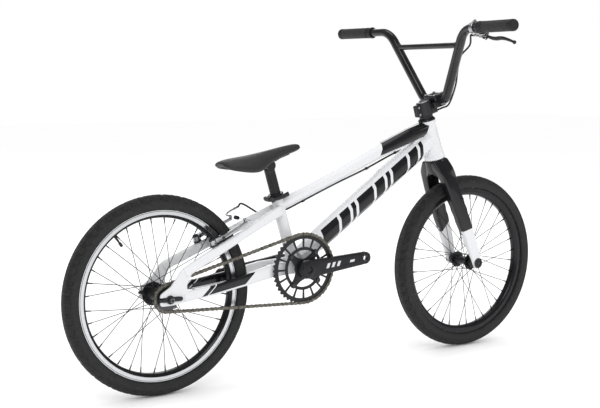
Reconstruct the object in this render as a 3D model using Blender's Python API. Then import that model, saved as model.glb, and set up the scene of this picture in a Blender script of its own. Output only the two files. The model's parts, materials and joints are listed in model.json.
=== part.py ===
"""A BMX race bike: welded frame, tapered fork, 20 inch wheels, crankset, rim brake and bars.

Units are metres, +X points forward, +Y to the rider's left, +Z up. The origin is on the
ground, midway between the two hubs.
"""

import math

import bmesh
import bpy
from mathutils import Matrix, Vector

# Clearances
WELD_GAP = 0.0003          # between pieces that are welded, glued or clamped together
RUN_GAP = 0.0004           # between a shaft and the hole it turns or slides in
CUT_PAST = 0.004           # how far a cutter runs past the surface it opens

# Wheels
WHEELBASE = 0.9656
BEAD_RADIUS = 0.203        # bead seat of a 20 inch (406 mm) rim
TYRE_SECTION = 0.045
TYRE_WALL = 0.0026
TYRE_STAND = 0.0192        # centre of the tyre's section above the bead seat
RIM_EDGE = 0.006           # rim flange above the bead seat
RIM_DEPTH = 0.020
RIM_WIDTH = 0.0272
RIM_WALL = 0.0018
RIM_STEPS = 32
SPOKE_COUNT = 36
SPOKE_CROSSINGS = 3
SPOKE_SIZE = 0.0017
SPOKE_STAGGER = 0.004      # between the inward and outward spokes of one flange
SPOKE_SEAT = 0.0020        # thickness of the band that the nipples sit in

# Frame
CHAINSTAY_LENGTH = 0.3886
BB_RISE = 0.0368           # bottom bracket above the hubs
SEAT_ANGLE = math.radians(73.8)
HEAD_ANGLE = math.radians(74.6)
SEAT_TUBE_LENGTH = 0.197
SEAT_TUBE_DIAMETER = 0.0310
SEAT_TUBE_WALL = 0.0016
STAY_WALL = 0.0022
HEAD_TUBE_LENGTH = 0.110
HEAD_TOP_DIAMETER = 0.047
HEAD_BOTTOM_DIAMETER = 0.057
HEAD_TUBE_WALL = 0.0030
BB_SHELL_WIDTH = 0.068
BB_SHELL_DIAMETER = 0.043
BB_SHELL_WALL = 0.0038
TUBE_WALL = 0.0016
DROPOUT_THICKNESS = 0.0067
DROPOUT_SLOT = 0.0108

# Fork and headset
FORK_LENGTH = 0.3168       # axle to the foot of the head tube, along the steerer
FORK_RAKE = 0.0302
STEERER_DIAMETER = 0.0286
STEERER_WALL = 0.0020
CROWN_DEPTH = 0.056
FORK_OUTER_FACE = 0.0613    # where the axle's heads sit, from the centre plane
BEARING_HEIGHT = 0.008
HEADSET_COVER_HEIGHT = 0.008
SPACER_HEIGHT = 0.006

# Hubs and axles
REAR_HUB_SPACING = 0.110
FRONT_HUB_SPACING = 0.100
REAR_AXLE_DIAMETER = 0.010
FRONT_AXLE_DIAMETER = 0.020
REAR_FLANGE_RADIUS = 0.0290
FRONT_FLANGE_RADIUS = 0.0225
REAR_FLANGE_OFFSET = 0.031
FRONT_FLANGE_OFFSET = 0.028
FLANGE_THICKNESS = 0.003

# Drivetrain
CHAIN_PITCH = 0.0127
CHAINRING_TEETH = 44
COG_TEETH = 16
CHAIN_LINE = 0.0455
SPROCKET_THICKNESS = 0.0030
CHAIN_INNER_WIDTH = 0.0056
CHAIN_PLATE = 0.0011
TOOTH_HEIGHT = 0.0032      # tooth tip above the pitch circle
TOOTH_ROOT = 0.0038        # tooth root below the pitch circle
CHAINRING_WINDOWS = 16
CHAINRING_RIM = 0.00871139   # solid band between the windows and the tooth roots
CHAINRING_BAND = 0.0035     # and between the windows and the bolt circle
CHAINRING_RIB = 0.0062
CHAINRING_BOLT_CIRCLE = 0.104
CRANK_LENGTH = 0.175
CRANK_ANGLE = math.radians(5.2)
CRANK_FACE = 0.071         # outer face of the crank boss from the centre plane
CRANK_FLARE = 0.006        # how much further out the pedal end lies
PEDAL_HOLE_DIAMETER = 0.0143
PEDAL_EYE_RADIUS = 0.0165
SPINDLE_DIAMETER = 0.024

# Cockpit
STEM_REACH = 0.042
STEM_RISE = 0.046          # bar centre above the head tube's top, along the steerer
STEM_WIDTH = 0.050
BAR_WIDTH = 0.7368
BAR_CLAMP_BEND = 0.0445    # where the uprights' axes meet the clamp's, from the centre plane
BAR_GRIP_ROOT = 0.182      # inner end of the straight grip section
BAR_SHOULDER = 0.022       # further in to where its axis meets the upright's
BAR_TOP_RADIUS = 0.058
BAR_FOOT_RADIUS = 0.029
BAR_RISE = 0.1945
BAR_TILT = math.radians(12.0)
BAR_BACKSWEEP = math.radians(5.6)
BAR_CLAMP_DIAMETER = 0.0254
BAR_END_DIAMETER = 0.0222
BAR_WALL = 0.0018
CROSSBAR_DIAMETER = 0.016
CROSSBAR_HEIGHT = 0.1500
GRIP_LENGTH = 0.140
GRIP_DIAMETER = 0.030

# Seat
SEATPOST_DIAMETER = 0.0272
SEATPOST_WALL = 0.0022
SEATPOST_INSERTION = 0.090
SEATPOST_EXPOSED = 0.078   # seat tube's top to the saddle pivot
SEATPOST_HEAD_RADIUS = 0.0135
SADDLE_LENGTH = 0.238
SADDLE_WIDTH = 0.118
SADDLE_NOSE_RISE = math.radians(8.6)

# Rim brake
BRAKE_POST_SPREAD = 0.086
BRAKE_ARM_LENGTH = 0.104
BRAKE_POST_HEIGHT = 0.026
PAD_GAP = 0.0017
PAD_LENGTH = 0.070
PAD_HEIGHT = 0.009
PAD_RADIUS = 0.2020        # pad's middle line from the hub
PAD_THICKNESS = 0.0095
CABLE_DIAMETER = 0.005
CABLE_GAP = 0.0006         # between a housing's end and what it butts against
NOODLE_GAP = 0.0026        # room for the noodle's mouth as its arm swings in
BOOT_BORE = 0.0023

# Derived radii and places
WHEEL_RADIUS = BEAD_RADIUS + TYRE_STAND + TYRE_SECTION / 2
BB_FORWARD = math.sqrt(CHAINSTAY_LENGTH ** 2 - BB_RISE ** 2)
CHAINRING_RADIUS = CHAIN_PITCH / 2 / math.sin(math.pi / CHAINRING_TEETH)
COG_RADIUS = CHAIN_PITCH / 2 / math.sin(math.pi / COG_TEETH)

X = Vector((1, 0, 0))
Y = Vector((0, 1, 0))
Z = Vector((0, 0, 1))

REAR_HUB = Vector((-WHEELBASE / 2, 0, WHEEL_RADIUS))
FRONT_HUB = Vector((WHEELBASE / 2, 0, WHEEL_RADIUS))
BB = REAR_HUB + Vector((BB_FORWARD, 0, BB_RISE))
SEAT_UP = Vector((-math.cos(SEAT_ANGLE), 0, math.sin(SEAT_ANGLE)))
SEAT_FORWARD = Vector((math.sin(SEAT_ANGLE), 0, math.cos(SEAT_ANGLE)))
HEAD_UP = Vector((-math.cos(HEAD_ANGLE), 0, math.sin(HEAD_ANGLE)))
HEAD_FORWARD = Vector((math.sin(HEAD_ANGLE), 0, math.cos(HEAD_ANGLE)))
HEAD_FOOT = FRONT_HUB + HEAD_UP * FORK_LENGTH - HEAD_FORWARD * FORK_RAKE

# Colour, roughness and metallic value of each finish
WHITE_PAINT = ((0.90, 0.90, 0.91), 0.22, 0.0)
BLACK_PAINT = ((0.012, 0.012, 0.014), 0.16, 0.0)
BLACK_ANODISED = ((0.020, 0.020, 0.022), 0.32, 0.7)
SILVER = ((0.72, 0.73, 0.75), 0.24, 1.0)
STEEL = ((0.45, 0.43, 0.40), 0.35, 1.0)
BLACK_RUBBER = ((0.022, 0.022, 0.024), 0.78, 0.0)
GRIP_RUBBER = ((0.030, 0.030, 0.034), 0.70, 0.0)
BLACK_PLASTIC = ((0.025, 0.025, 0.027), 0.50, 0.0)


# Places

def forward_of_hub(x, z, y=0.0):
    """A point x ahead of the rear hub, at height z and side y."""
    return Vector((REAR_HUB.x + x, y, z))


def on_head(up, forward=0.0, side=0.0):
    """A point in the steering frame: up the steerer, forward of it and to its left."""
    return HEAD_FOOT + HEAD_UP * up + HEAD_FORWARD * forward + Y * side


def on_seat(up, forward=0.0, side=0.0):
    """A point in the seat tube's frame, measured up from the bottom bracket."""
    return BB + SEAT_UP * up + SEAT_FORWARD * forward + Y * side


# Making meshes

def superellipse(half_width, half_height, power, count):
    """Points round a rounded section; power 2 is an ellipse, more is squarer."""
    points = []
    for k in range(count):
        angle = math.tau * (k + 0.5) / count
        c, s = math.cos(angle), math.sin(angle)
        points.append((half_width * math.copysign(abs(c) ** (2 / power), c),
                       half_height * math.copysign(abs(s) ** (2 / power), s)))
    return points


def loft(rings):
    """A closed body through rings of points, flat at both ends."""
    bm = bmesh.new()
    rows = [[bm.verts.new(p) for p in ring] for ring in rings]
    count = len(rows[0])
    for a, b in zip(rows, rows[1:]):
        for i in range(count):
            j = (i + 1) % count
            bm.faces.new((a[i], a[j], b[j], b[i]))
    bm.faces.new(rows[0][::-1])
    bm.faces.new(rows[-1])
    return bm


def swept(points, sections, side=Y):
    """A loft of 2D sections held square to a path; side is the first section's u axis."""
    rings = []
    u_axis = side
    for i, point in enumerate(points):
        ahead = points[min(i + 1, len(points) - 1)]
        behind = points[max(i - 1, 0)]
        along = (ahead - behind).normalized()
        u_axis = (u_axis - along * u_axis.dot(along)).normalized()
        v_axis = along.cross(u_axis)
        section = sections[i] if isinstance(sections[0], list) else sections
        rings.append([point + u_axis * u + v_axis * v for u, v in section])
    return loft(rings)


def turned(profile, centre, axis=Y, steps=20, start=Z):
    """A body of revolution from a closed profile of (radius, distance along the axis)."""
    bm = bmesh.new()
    across = axis.cross(start).normalized()
    start = across.cross(axis).normalized()
    columns = []
    for k in range(steps):
        angle = math.tau * k / steps
        out = start * math.cos(angle) + across * math.sin(angle)
        columns.append([None if r == 0 else bm.verts.new(centre + axis * a + out * r)
                        for r, a in profile])
    poles = {i: bm.verts.new(centre + axis * a) for i, (r, a) in enumerate(profile) if r == 0}
    for k in range(steps):
        one, two = columns[k], columns[(k + 1) % steps]
        for i in range(len(profile)):
            j = (i + 1) % len(profile)
            corners = [one[i] or poles[i], one[j] or poles[j], two[j] or poles[j],
                       two[i] or poles[i]]
            corners = list(dict.fromkeys(corners))
            if len(corners) > 2:
                bm.faces.new(corners)
    return bm


def rod(radius, low, high, centre, axis=Y, steps=16, start=Z):
    return turned([(0, low), (radius, low), (radius, high), (0, high)], centre, axis, steps, start)


def ring(inner, outer, low, high, centre, axis=Y, steps=20, start=Z):
    profile = [(inner, low), (outer, low), (outer, high), (inner, high)]
    return turned(profile, centre, axis, steps, start)


def rod_between(first, last, radius, steps=12):
    axis = last - first
    start = X if abs(axis.normalized().dot(X)) < 0.9 else Z
    return rod(radius, 0, axis.length, first, axis.normalized(), steps, start)


def plate(outline, holes, y_low, y_high):
    """A flat plate square to Y, from (x, z) loops."""
    bm = bmesh.new()
    edges = []
    for loop in [outline] + holes:
        verts = [bm.verts.new((x, y_low, z)) for x, z in loop]
        edges += [bm.edges.new((verts[i], verts[(i + 1) % len(verts)])) for i in range(len(verts))]
    bmesh.ops.triangle_fill(bm, use_beauty=True, use_dissolve=False, edges=edges, normal=Y)
    grown = bmesh.ops.extrude_face_region(bm, geom=bm.faces[:])["geom"]
    moved = [v for v in grown if isinstance(v, bmesh.types.BMVert)]
    bmesh.ops.translate(bm, verts=moved, vec=Y * (y_high - y_low))
    return bm


def arc(centre, radius, first, last, count):
    """Points of an arc in the XZ plane, angles in degrees from +X towards +Z."""
    points = []
    for k in range(count):
        angle = math.radians(first + (last - first) * k / (count - 1))
        points.append((centre[0] + radius * math.cos(angle), centre[1] + radius * math.sin(angle)))
    return points


def box(centre, size, axes=(X, Y, Z)):
    """A block with its sides along three given axes."""
    bm = bmesh.new()
    bmesh.ops.create_cube(bm, size=1)
    turn = Matrix([a.normalized() for a in axes]).transposed().to_4x4()
    scale = Matrix.Diagonal((*size, 1))
    bm.transform(Matrix.Translation(centre) @ turn @ scale)
    return bm


def smooth_path(points, steps):
    """A smooth path through points, straight into and out of the ends."""
    path = []
    last = len(points) - 1
    for i in range(last):
        p0, p1, p2, p3 = (points[max(i - 1, 0)], points[i], points[i + 1],
                          points[min(i + 2, last)])
        for k in range(steps):
            t = k / steps
            path.append(0.5 * ((2 * p1) + (p2 - p0) * t + (2 * p0 - 5 * p1 + 4 * p2 - p3) * t ** 2
                               + (3 * p1 - p0 - 3 * p2 + p3) * t ** 3))
    path.append(points[-1])
    return path


def fillet_path(points, radii, steps):
    """A path of straight runs joined by arcs of the given radii at its inner points."""
    path = [points[0]]
    for before, corner, after, radius in zip(points, points[1:], points[2:], radii):
        a, b = (before - corner).normalized(), (after - corner).normalized()
        half = a.angle(b) / 2
        reach = radius / math.tan(half)
        centre = corner + (a + b).normalized() * radius / math.sin(half)
        first, last = corner + a * reach - centre, corner + b * reach - centre
        for k in range(steps + 1):
            path.append(centre + turn_towards(first, last, k / steps))
    path.append(points[-1])
    return path


def turn_towards(first, last, share):
    """The vector a share of the way round from first to last, at their common length."""
    angle = first.angle(last)
    if angle < 1e-6:
        return first.copy()
    return (first * math.sin((1 - share) * angle) + last * math.sin(share * angle)) / math.sin(angle)


# Objects, bodies and cuts

def make_material(name, look):
    colour, roughness, metallic = look
    material = bpy.data.materials.new(name)
    material.use_nodes = True
    shader = material.node_tree.nodes["Principled BSDF"]
    shader.inputs["Base Color"].default_value = (*colour, 1)
    shader.inputs["Roughness"].default_value = roughness
    shader.inputs["Metallic"].default_value = metallic
    return material


def add_object(name, bm, origin=None):
    """An object from a bmesh in world coordinates, with its origin moved to a given point."""
    origin = origin or Vector()
    bmesh.ops.translate(bm, verts=bm.verts, vec=-origin)
    bmesh.ops.recalc_face_normals(bm, faces=bm.faces)
    mesh = bpy.data.meshes.new(name)
    bm.to_mesh(mesh)
    bm.free()
    obj = bpy.data.objects.new(name, mesh)
    obj.location = origin
    bpy.context.scene.collection.objects.link(obj)
    return obj


def piece(name, bm, look, body):
    """A named sub-part with its own material, riding on a body's empty."""
    obj = add_object(name, bm, body.location)
    obj.data.materials.append(make_material(name + "_finish", look))
    obj.data.shade_smooth()
    obj.data.set_sharp_from_angle(angle=math.radians(35))
    obj.location = Vector()
    obj.parent = body
    return obj


def make_body(name, pivot):
    empty = bpy.data.objects.new(name, None)
    empty.location = pivot
    bpy.context.scene.collection.objects.link(empty)
    return empty


def shape(obj, operation, *meshes):
    """Adds each mesh to obj, or cuts it away, with a Boolean."""
    for bm in meshes:
        tool = add_object(obj.name + "_tool", bm)
        tool.hide_render = True
        tool.display_type = "WIRE"
        boolean = obj.modifiers.new("shape", "BOOLEAN")
        boolean.operation = operation
        boolean.object = tool
    return obj


def cut(obj, *meshes):
    return shape(obj, "DIFFERENCE", *meshes)


def join(obj, *meshes):
    return shape(obj, "UNION", *meshes)


# Frame

FRAME_SIDES = 12

# (forward of the rear hub, height, width, depth) along each big tube
TOP_TUBE = ((0.345, 0.442, 0.0290, 0.0280), (0.420, 0.472, 0.0350, 0.0290),
            (0.530, 0.515, 0.0380, 0.0310), (0.650, 0.566, 0.0420, 0.0360),
            (0.760, 0.608, 0.0440, 0.0400), (0.826, 0.629, 0.0400, 0.0400))
DOWN_TUBE = ((0.402, 0.304, 0.0440, 0.0420), (0.470, 0.350, 0.0520, 0.0520),
             (0.640, 0.467, 0.0540, 0.0560), (0.760, 0.549, 0.0520, 0.0560),
             (0.836, 0.597, 0.0460, 0.0500))
# (forward of the rear hub, height, side, width, depth) along each stay
CHAINSTAY = ((0.036, 0.2465, 0.0585, 0.0135, 0.023), (0.125, 0.2535, 0.0495, 0.0150, 0.025),
             (0.220, 0.2670, 0.0390, 0.0160, 0.028), (0.300, 0.2810, 0.0305, 0.0160, 0.033),
             (0.375, 0.2850, 0.0235, 0.0160, 0.035))
SEATSTAY = ((0.040, 0.3035, 0.0585, 0.0130, 0.024), (0.130, 0.3440, 0.0465, 0.0140, 0.024),
            (0.220, 0.3820, 0.0345, 0.0150, 0.021), (0.290, 0.4125, 0.0245, 0.0150, 0.024),
            (0.338, 0.4330, 0.0175, 0.0150, 0.027))
TUBE_SQUARENESS = 2.6


def big_tube(stations, grow=0.0):
    """A main tube, or with grow a larger or smaller one that runs past its ends."""
    sections = [superellipse(w / 2 + grow, d / 2 + grow, TUBE_SQUARENESS, FRAME_SIDES)
                for _, _, w, d in stations]
    path = [forward_of_hub(x, z) for x, z, _, _ in stations]
    if grow:
        path[0] += (path[0] - path[1]).normalized() * CUT_PAST
        path[-1] += (path[-1] - path[-2]).normalized() * CUT_PAST
    return swept(path, sections)


def head_solid(grow):
    """The head tube's outside, with straight ends that run past its own."""
    low, high = HEAD_BOTTOM_DIAMETER / 2 + grow, HEAD_TOP_DIAMETER / 2 + grow
    return turned([(0, -0.001), (low, -0.001), (low, 0.012), (high, HEAD_TUBE_LENGTH * 0.6),
                   (high, HEAD_TUBE_LENGTH + 0.02), (0, HEAD_TUBE_LENGTH + 0.02)],
                  HEAD_FOOT, HEAD_UP)


def seat_solid(grow):
    return rod(SEAT_TUBE_DIAMETER / 2 + grow, 0, SEAT_TUBE_LENGTH + 0.02, BB, SEAT_UP, 20)


def shell_solid(grow):
    reach = BB_SHELL_WIDTH / 2 + 0.02
    return rod(BB_SHELL_DIAMETER / 2 + grow, -reach, reach, BB, Y, 24)


def make_head_tube(body):
    """Tapered tube with a bearing seat cut into each end."""
    low, high = HEAD_BOTTOM_DIAMETER / 2, HEAD_TOP_DIAMETER / 2
    neck = HEAD_TUBE_LENGTH * 0.6
    seat = BEARING_HEIGHT + WELD_GAP
    profile = [(low, 0), (low, 0.012), (high, neck), (high, HEAD_TUBE_LENGTH),
               (high - HEAD_TUBE_WALL, HEAD_TUBE_LENGTH),
               (high - HEAD_TUBE_WALL, HEAD_TUBE_LENGTH - seat),
               (high - 2 * HEAD_TUBE_WALL, HEAD_TUBE_LENGTH - seat),
               (high - 2 * HEAD_TUBE_WALL, neck), (low - 2 * HEAD_TUBE_WALL, seat),
               (low - HEAD_TUBE_WALL, seat), (low - HEAD_TUBE_WALL, 0)]
    piece("head_tube", turned(profile, HEAD_FOOT, HEAD_UP), WHITE_PAINT, body)


def make_main_tubes(body):
    seat_radius = SEAT_TUBE_DIAMETER / 2
    bore = seat_radius - SEAT_TUBE_WALL
    seat_tube = piece("seat_tube", ring(bore, seat_radius, 0, SEAT_TUBE_LENGTH, BB, SEAT_UP, 20),
                      WHITE_PAINT, body)
    cut(seat_tube, shell_solid(WELD_GAP))

    shell_radius = BB_SHELL_DIAMETER / 2
    half = BB_SHELL_WIDTH / 2
    piece("bottom_bracket_shell", ring(shell_radius - BB_SHELL_WALL, shell_radius, -half, half, BB,
                                       Y, 24), WHITE_PAINT, body)

    down_tube = piece("down_tube", big_tube(DOWN_TUBE), WHITE_PAINT, body)
    cut(down_tube, big_tube(DOWN_TUBE, -TUBE_WALL), head_solid(WELD_GAP), seat_solid(WELD_GAP),
        shell_solid(WELD_GAP))

    top_tube = piece("top_tube", big_tube(TOP_TUBE), WHITE_PAINT, body)
    cut(top_tube, big_tube(TOP_TUBE, -TUBE_WALL), head_solid(WELD_GAP), seat_solid(WELD_GAP),
        big_tube(DOWN_TUBE, WELD_GAP))


def dropout_outline(grow=0.0):
    """The rear dropout's side view about the axle, as (x, z) offsets from the hub."""
    g = grow
    return [(-0.024, 0.0060 - g), (-0.020, 0.0150 + g), (0.004, 0.0300 + g), (0.030, 0.0640 + g),
            (0.049 + g, 0.0705 + g), (0.058 + g, 0.0540), (0.046 + g, 0.0330), (0.046 + g, 0.0210),
            (0.060 + g, 0.0110), (0.060 + g, -0.0080 - g), (0.038, -0.0110 - g),
            (0.0, -0.0150 - g), (-0.022, -0.0150 - g), (-0.024, -0.0060 + g)]


def stay_solid(path, stations, sides, wall):
    """A stay's outside, or with a wall its inside, which runs past both ends."""
    sections = [superellipse(w / 2 - wall, d / 2 - wall, 3.2, sides) for _, _, _, w, d in stations]
    if wall:
        path = [path[0] + (path[0] - path[1]).normalized() * CUT_PAST, *path[1:-1],
                path[-1] + (path[-1] - path[-2]).normalized() * CUT_PAST]
    return swept(path, sections)


def make_rear_triangle(body):
    """Dropouts, and stays slotted over them; the dropout's slot is open to the rear."""
    inner = REAR_HUB_SPACING / 2 + WELD_GAP
    outer = inner + DROPOUT_THICKNESS
    slot = DROPOUT_SLOT / 2
    for name, side in (("right", -1), ("left", 1)):
        low, high = sorted((side * inner, side * outer))
        at_hub = [(REAR_HUB.x + x, REAR_HUB.z + z) for x, z in dropout_outline()]
        dropout = piece("dropout_" + name, plate(at_hub, [], low, high), WHITE_PAINT, body)
        slot_end = rod(slot, -0.1, 0.1, REAR_HUB + X * 0.028, Y, 16)
        slot_run = box(REAR_HUB - X * 0.016, (0.088, 0.2, 2 * slot))
        cut(dropout, slot_run, slot_end)

        grown = [(REAR_HUB.x + x, REAR_HUB.z + z) for x, z in dropout_outline(WELD_GAP)]
        for stay, stations in (("chainstay_", CHAINSTAY), ("seatstay_", SEATSTAY)):
            path = [forward_of_hub(x, z, side * y) for x, z, y, _, _ in stations]
            obj = piece(stay + name, stay_solid(path, stations, 12, 0), WHITE_PAINT, body)
            cut(obj, stay_solid(path, stations, 8, STAY_WALL),
                plate(grown, [], low - WELD_GAP, high + WELD_GAP), seat_solid(WELD_GAP))
            if stay == "chainstay_":
                cut(obj, shell_solid(WELD_GAP))
            else:
                cut(obj, big_tube(TOP_TUBE, WELD_GAP))
                join(obj, brake_post(side))


def make_bottom_bracket(body):
    """Threaded cups that carry the bearings, one from each side."""
    bore = SPINDLE_DIAMETER / 2 + RUN_GAP
    inside = BB_SHELL_DIAMETER / 2 - BB_SHELL_WALL - WELD_GAP
    face = BB_SHELL_WIDTH / 2
    for name, side in (("right", -1), ("left", 1)):
        profile = [(bore, face - 0.012), (inside, face - 0.012), (inside, face + WELD_GAP),
                   (BB_SHELL_DIAMETER / 2, face + WELD_GAP), (BB_SHELL_DIAMETER / 2, face + 0.009),
                   (bore, face + 0.009)]
        piece("bearing_cup_" + name, turned(profile, BB, Y * side), BLACK_ANODISED, body)


def make_headset(body):
    steerer = STEERER_DIAMETER / 2 + RUN_GAP
    low = HEAD_BOTTOM_DIAMETER / 2 - HEAD_TUBE_WALL - WELD_GAP
    high = HEAD_TOP_DIAMETER / 2 - HEAD_TUBE_WALL - WELD_GAP
    piece("headset_bearing_lower", ring(steerer, low, WELD_GAP, BEARING_HEIGHT, HEAD_FOOT, HEAD_UP),
          STEEL, body)
    piece("headset_bearing_upper", ring(steerer, high, HEAD_TUBE_LENGTH - BEARING_HEIGHT,
                                        HEAD_TUBE_LENGTH - WELD_GAP, HEAD_FOOT, HEAD_UP), STEEL, body)


# Rear axle and chain

def capsule_outline(centre, length, radius):
    return (arc((centre[0] + length / 2, centre[1]), radius, -90, 90, 7)
            + arc((centre[0] - length / 2, centre[1]), radius, 90, 270, 7))


def make_rear_axle(body):
    """Axle with lock nuts inside the dropouts; chain tensioner plates and nuts outside."""
    radius = REAR_AXLE_DIAMETER / 2
    face = REAR_HUB_SPACING / 2
    outer = face + WELD_GAP + DROPOUT_THICKNESS + WELD_GAP
    plate_thickness = 0.0025
    nut_start = outer + plate_thickness + WELD_GAP
    nut_height = 0.0085
    end = nut_start + nut_height + 0.003
    profile = [(0, -end), (radius, -end), (radius, -face), (0.0085, -face), (0.0085, -face + 0.004),
               (radius, -face + 0.004), (radius, face - 0.004), (0.0085, face - 0.004),
               (0.0085, face), (radius, face), (radius, end), (0, end)]
    piece("rear_axle", turned(profile, REAR_HUB, Y, 16), STEEL, body)
    for name, side in (("right", -1), ("left", 1)):
        hexagon = rod(0.0088, nut_start, nut_start + nut_height, REAR_HUB, Y * side, 6)
        nut = piece("axle_nut_" + name, hexagon, BLACK_ANODISED, body)
        cut(nut, rod(radius + WELD_GAP, -0.1, 0.1, REAR_HUB, Y, 16))
        low, high = sorted((side * outer, side * (outer + plate_thickness)))
        outline = capsule_outline((REAR_HUB.x + 0.006, REAR_HUB.z), 0.044, 0.0052)
        tensioner = piece("chain_tensioner_" + name, plate(outline, [], low, high),
                          BLACK_ANODISED, body)
        join(tensioner, rod(0.0105, low, high, REAR_HUB, Y, 20))
        cut(tensioner, rod(radius + WELD_GAP, -0.1, 0.1, REAR_HUB, Y, 20))


def chain_stations():
    """(centre, outward) pairs round the chainring, along the runs and round the cog."""
    run = REAR_HUB - BB
    distance = run.length
    heading = math.atan2(run.z, run.x)
    wrap = math.acos((CHAINRING_RADIUS - COG_RADIUS) / distance)
    stations = []
    for centre, radius, first, last, count in (
            (BB, CHAINRING_RADIUS, heading + wrap, heading + math.tau - wrap, 29),
            (REAR_HUB, COG_RADIUS, heading - wrap, heading + wrap, 11)):
        for k in range(count):
            angle = first + (last - first) * k / (count - 1)
            out = Vector((math.cos(angle), 0, math.sin(angle)))
            stations.append((centre + out * radius - Y * CHAIN_LINE, out))
    return stations


def make_chain(body):
    """The chain as one loop, open on its inner side for the teeth."""
    inner = CHAIN_INNER_WIDTH / 2
    outer = inner + CHAIN_PLATE
    low = -CHAIN_PITCH / 3
    roof = TOOTH_HEIGHT + 0.0009
    profile = [(-outer, low), (-outer, roof + CHAIN_PLATE), (outer, roof + CHAIN_PLATE), (outer, low),
               (inner, low), (inner, roof), (-inner, roof), (-inner, low)]
    bm = bmesh.new()
    rows = [[bm.verts.new(point + Y * u + out * v) for u, v in profile]
            for point, out in chain_stations()]
    for k, row in enumerate(rows):
        following = rows[(k + 1) % len(rows)]
        for i in range(len(profile)):
            j = (i + 1) % len(profile)
            bm.faces.new((row[i], row[j], following[j], following[i]))
    piece("chain", bm, STEEL, body)


# Crankset

def toothed_outline(centre, teeth, pitch_radius):
    points = []
    for k in range(teeth):
        for share, height in ((-0.32, -TOOTH_ROOT), (0, TOOTH_HEIGHT), (0.32, -TOOTH_ROOT)):
            angle = math.tau * (k + share) / teeth
            radius = pitch_radius + height
            points.append((centre.x + radius * math.cos(angle), centre.z + radius * math.sin(angle)))
    return points


def circle_loop(centre, radius, count):
    return arc((centre.x, centre.z), radius, 0, 360 * (count - 1) / count, count)


def window_loop(inner, outer, middle, rib):
    """A chainring window between two radii, with straight ribs beside it."""
    points = []
    for radius, sign, steps in ((inner, 1, 2), (outer, -1, 3)):
        half = math.degrees(math.pi / CHAINRING_WINDOWS - rib / 2 / radius)
        points += arc((BB.x, BB.z), radius, middle - sign * half, middle + sign * half, steps)
    return points


def make_chainring(body):
    inner = CHAINRING_BOLT_CIRCLE / 2 + CHAINRING_BAND
    outer = CHAINRING_RADIUS - TOOTH_ROOT - CHAINRING_RIM
    windows = [window_loop(inner, outer, 360 * (k + 0.5) / CHAINRING_WINDOWS, CHAINRING_RIB)
               for k in range(CHAINRING_WINDOWS)]
    inner_edge = circle_loop(BB, CHAINRING_BOLT_CIRCLE / 2 - 0.0045, 24)
    half = SPROCKET_THICKNESS / 2
    piece("chainring", plate(toothed_outline(BB, CHAINRING_TEETH, CHAINRING_RADIUS),
                             windows + [inner_edge], -CHAIN_LINE - half, -CHAIN_LINE + half),
          BLACK_ANODISED, body)


def crank_direction(side):
    """The right arm points forward and a little up, the left arm the other way."""
    return Vector((-side * math.cos(CRANK_ANGLE), 0, -side * math.sin(CRANK_ANGLE)))


def make_crank_arms(body):
    """Arms that taper and flare out to the pedal end; the right one carries the spider."""
    # (share of the length, half height, thickness)
    shares = ((-0.12, 0.012, 0.0100), (-0.085, 0.0195, 0.0130), (0.0, 0.0240, 0.0145),
              (0.14, 0.0218, 0.0145), (0.50, 0.0198, 0.0140), (0.90, 0.0172, 0.0130),
              (1.03, 0.0135, 0.0125), (1.085, 0.0070, 0.0110))
    for name, side in (("right", -1), ("left", 1)):
        along = crank_direction(side)
        path = []
        sections = []
        for share, half_height, thickness in shares:
            face = CRANK_FACE + CRANK_FLARE * max(share, 0)
            path.append(BB + along * CRANK_LENGTH * share + Y * side * (face - thickness / 2))
            sections.append(superellipse(thickness / 2, half_height, 4, 10))
        arm = piece("crank_arm_" + name, swept(path, sections), BLACK_ANODISED, body)
        if name == "right":
            spider_low, spider_high = CHAIN_LINE + 0.0019, CHAIN_LINE + 0.0065
            join(arm, plate(spider_outline(), [], -spider_high, -spider_low))
            join(arm, rod(0.0225, spider_low + 0.001, CRANK_FACE - 0.004, BB, -Y, 20))
        else:
            join(arm, rod(0.0215, CHAIN_LINE + 0.003, CRANK_FACE - 0.004, BB, Y, 20))
        pedal = BB + along * CRANK_LENGTH
        eye_face = CRANK_FACE + CRANK_FLARE
        join(arm, rod(PEDAL_EYE_RADIUS, eye_face - 0.0125, eye_face + 0.0004, pedal, Y * side, 20))
        bore = SPINDLE_DIAMETER / 2 + WELD_GAP
        step = CRANK_FACE - 0.006
        cut(arm, turned([(0, 0), (bore, 0), (bore, step), (0.0085, step), (0.0085, 0.1), (0, 0.1)],
                        BB, Y * side),
            rod(PEDAL_HOLE_DIAMETER / 2, 0, 0.1, pedal, Y * side, 16))


def spider_outline():
    """Four arms to the bolt circle, set between the quarters of the crank's own direction."""
    points = []
    reach = CHAINRING_BOLT_CIRCLE / 2 + 0.006
    for k in range(4):
        middle = math.degrees(CRANK_ANGLE) + 45 + 90 * k
        for angle, radius in ((-34, 0.029), (-13, 0.038), (-8, reach), (8, reach), (13, 0.038),
                              (34, 0.029)):
            a = math.radians(middle + angle)
            points.append((BB.x + radius * math.cos(a), BB.z + radius * math.sin(a)))
    return points


def make_spindle(body):
    half = CRANK_FACE - 0.006 - WELD_GAP
    piece("crank_spindle", ring(0.0085, SPINDLE_DIAMETER / 2, -half, half, BB), STEEL, body)


def make_cog(body):
    """Toothed cog on its driver, free on the axle."""
    bore = REAR_AXLE_DIAMETER / 2 + RUN_GAP
    half = SPROCKET_THICKNESS / 2
    cog = piece("rear_cog", plate(toothed_outline(REAR_HUB, COG_TEETH, COG_RADIUS), [],
                                  -CHAIN_LINE - half, -CHAIN_LINE + half), BLACK_ANODISED, body)
    join(cog, rod(0.0175, 0.0370, 0.0505, REAR_HUB, -Y, 24))
    cut(cog, rod(bore, -0.1, 0.1, REAR_HUB, Y, 20))


# Wheels

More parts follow.
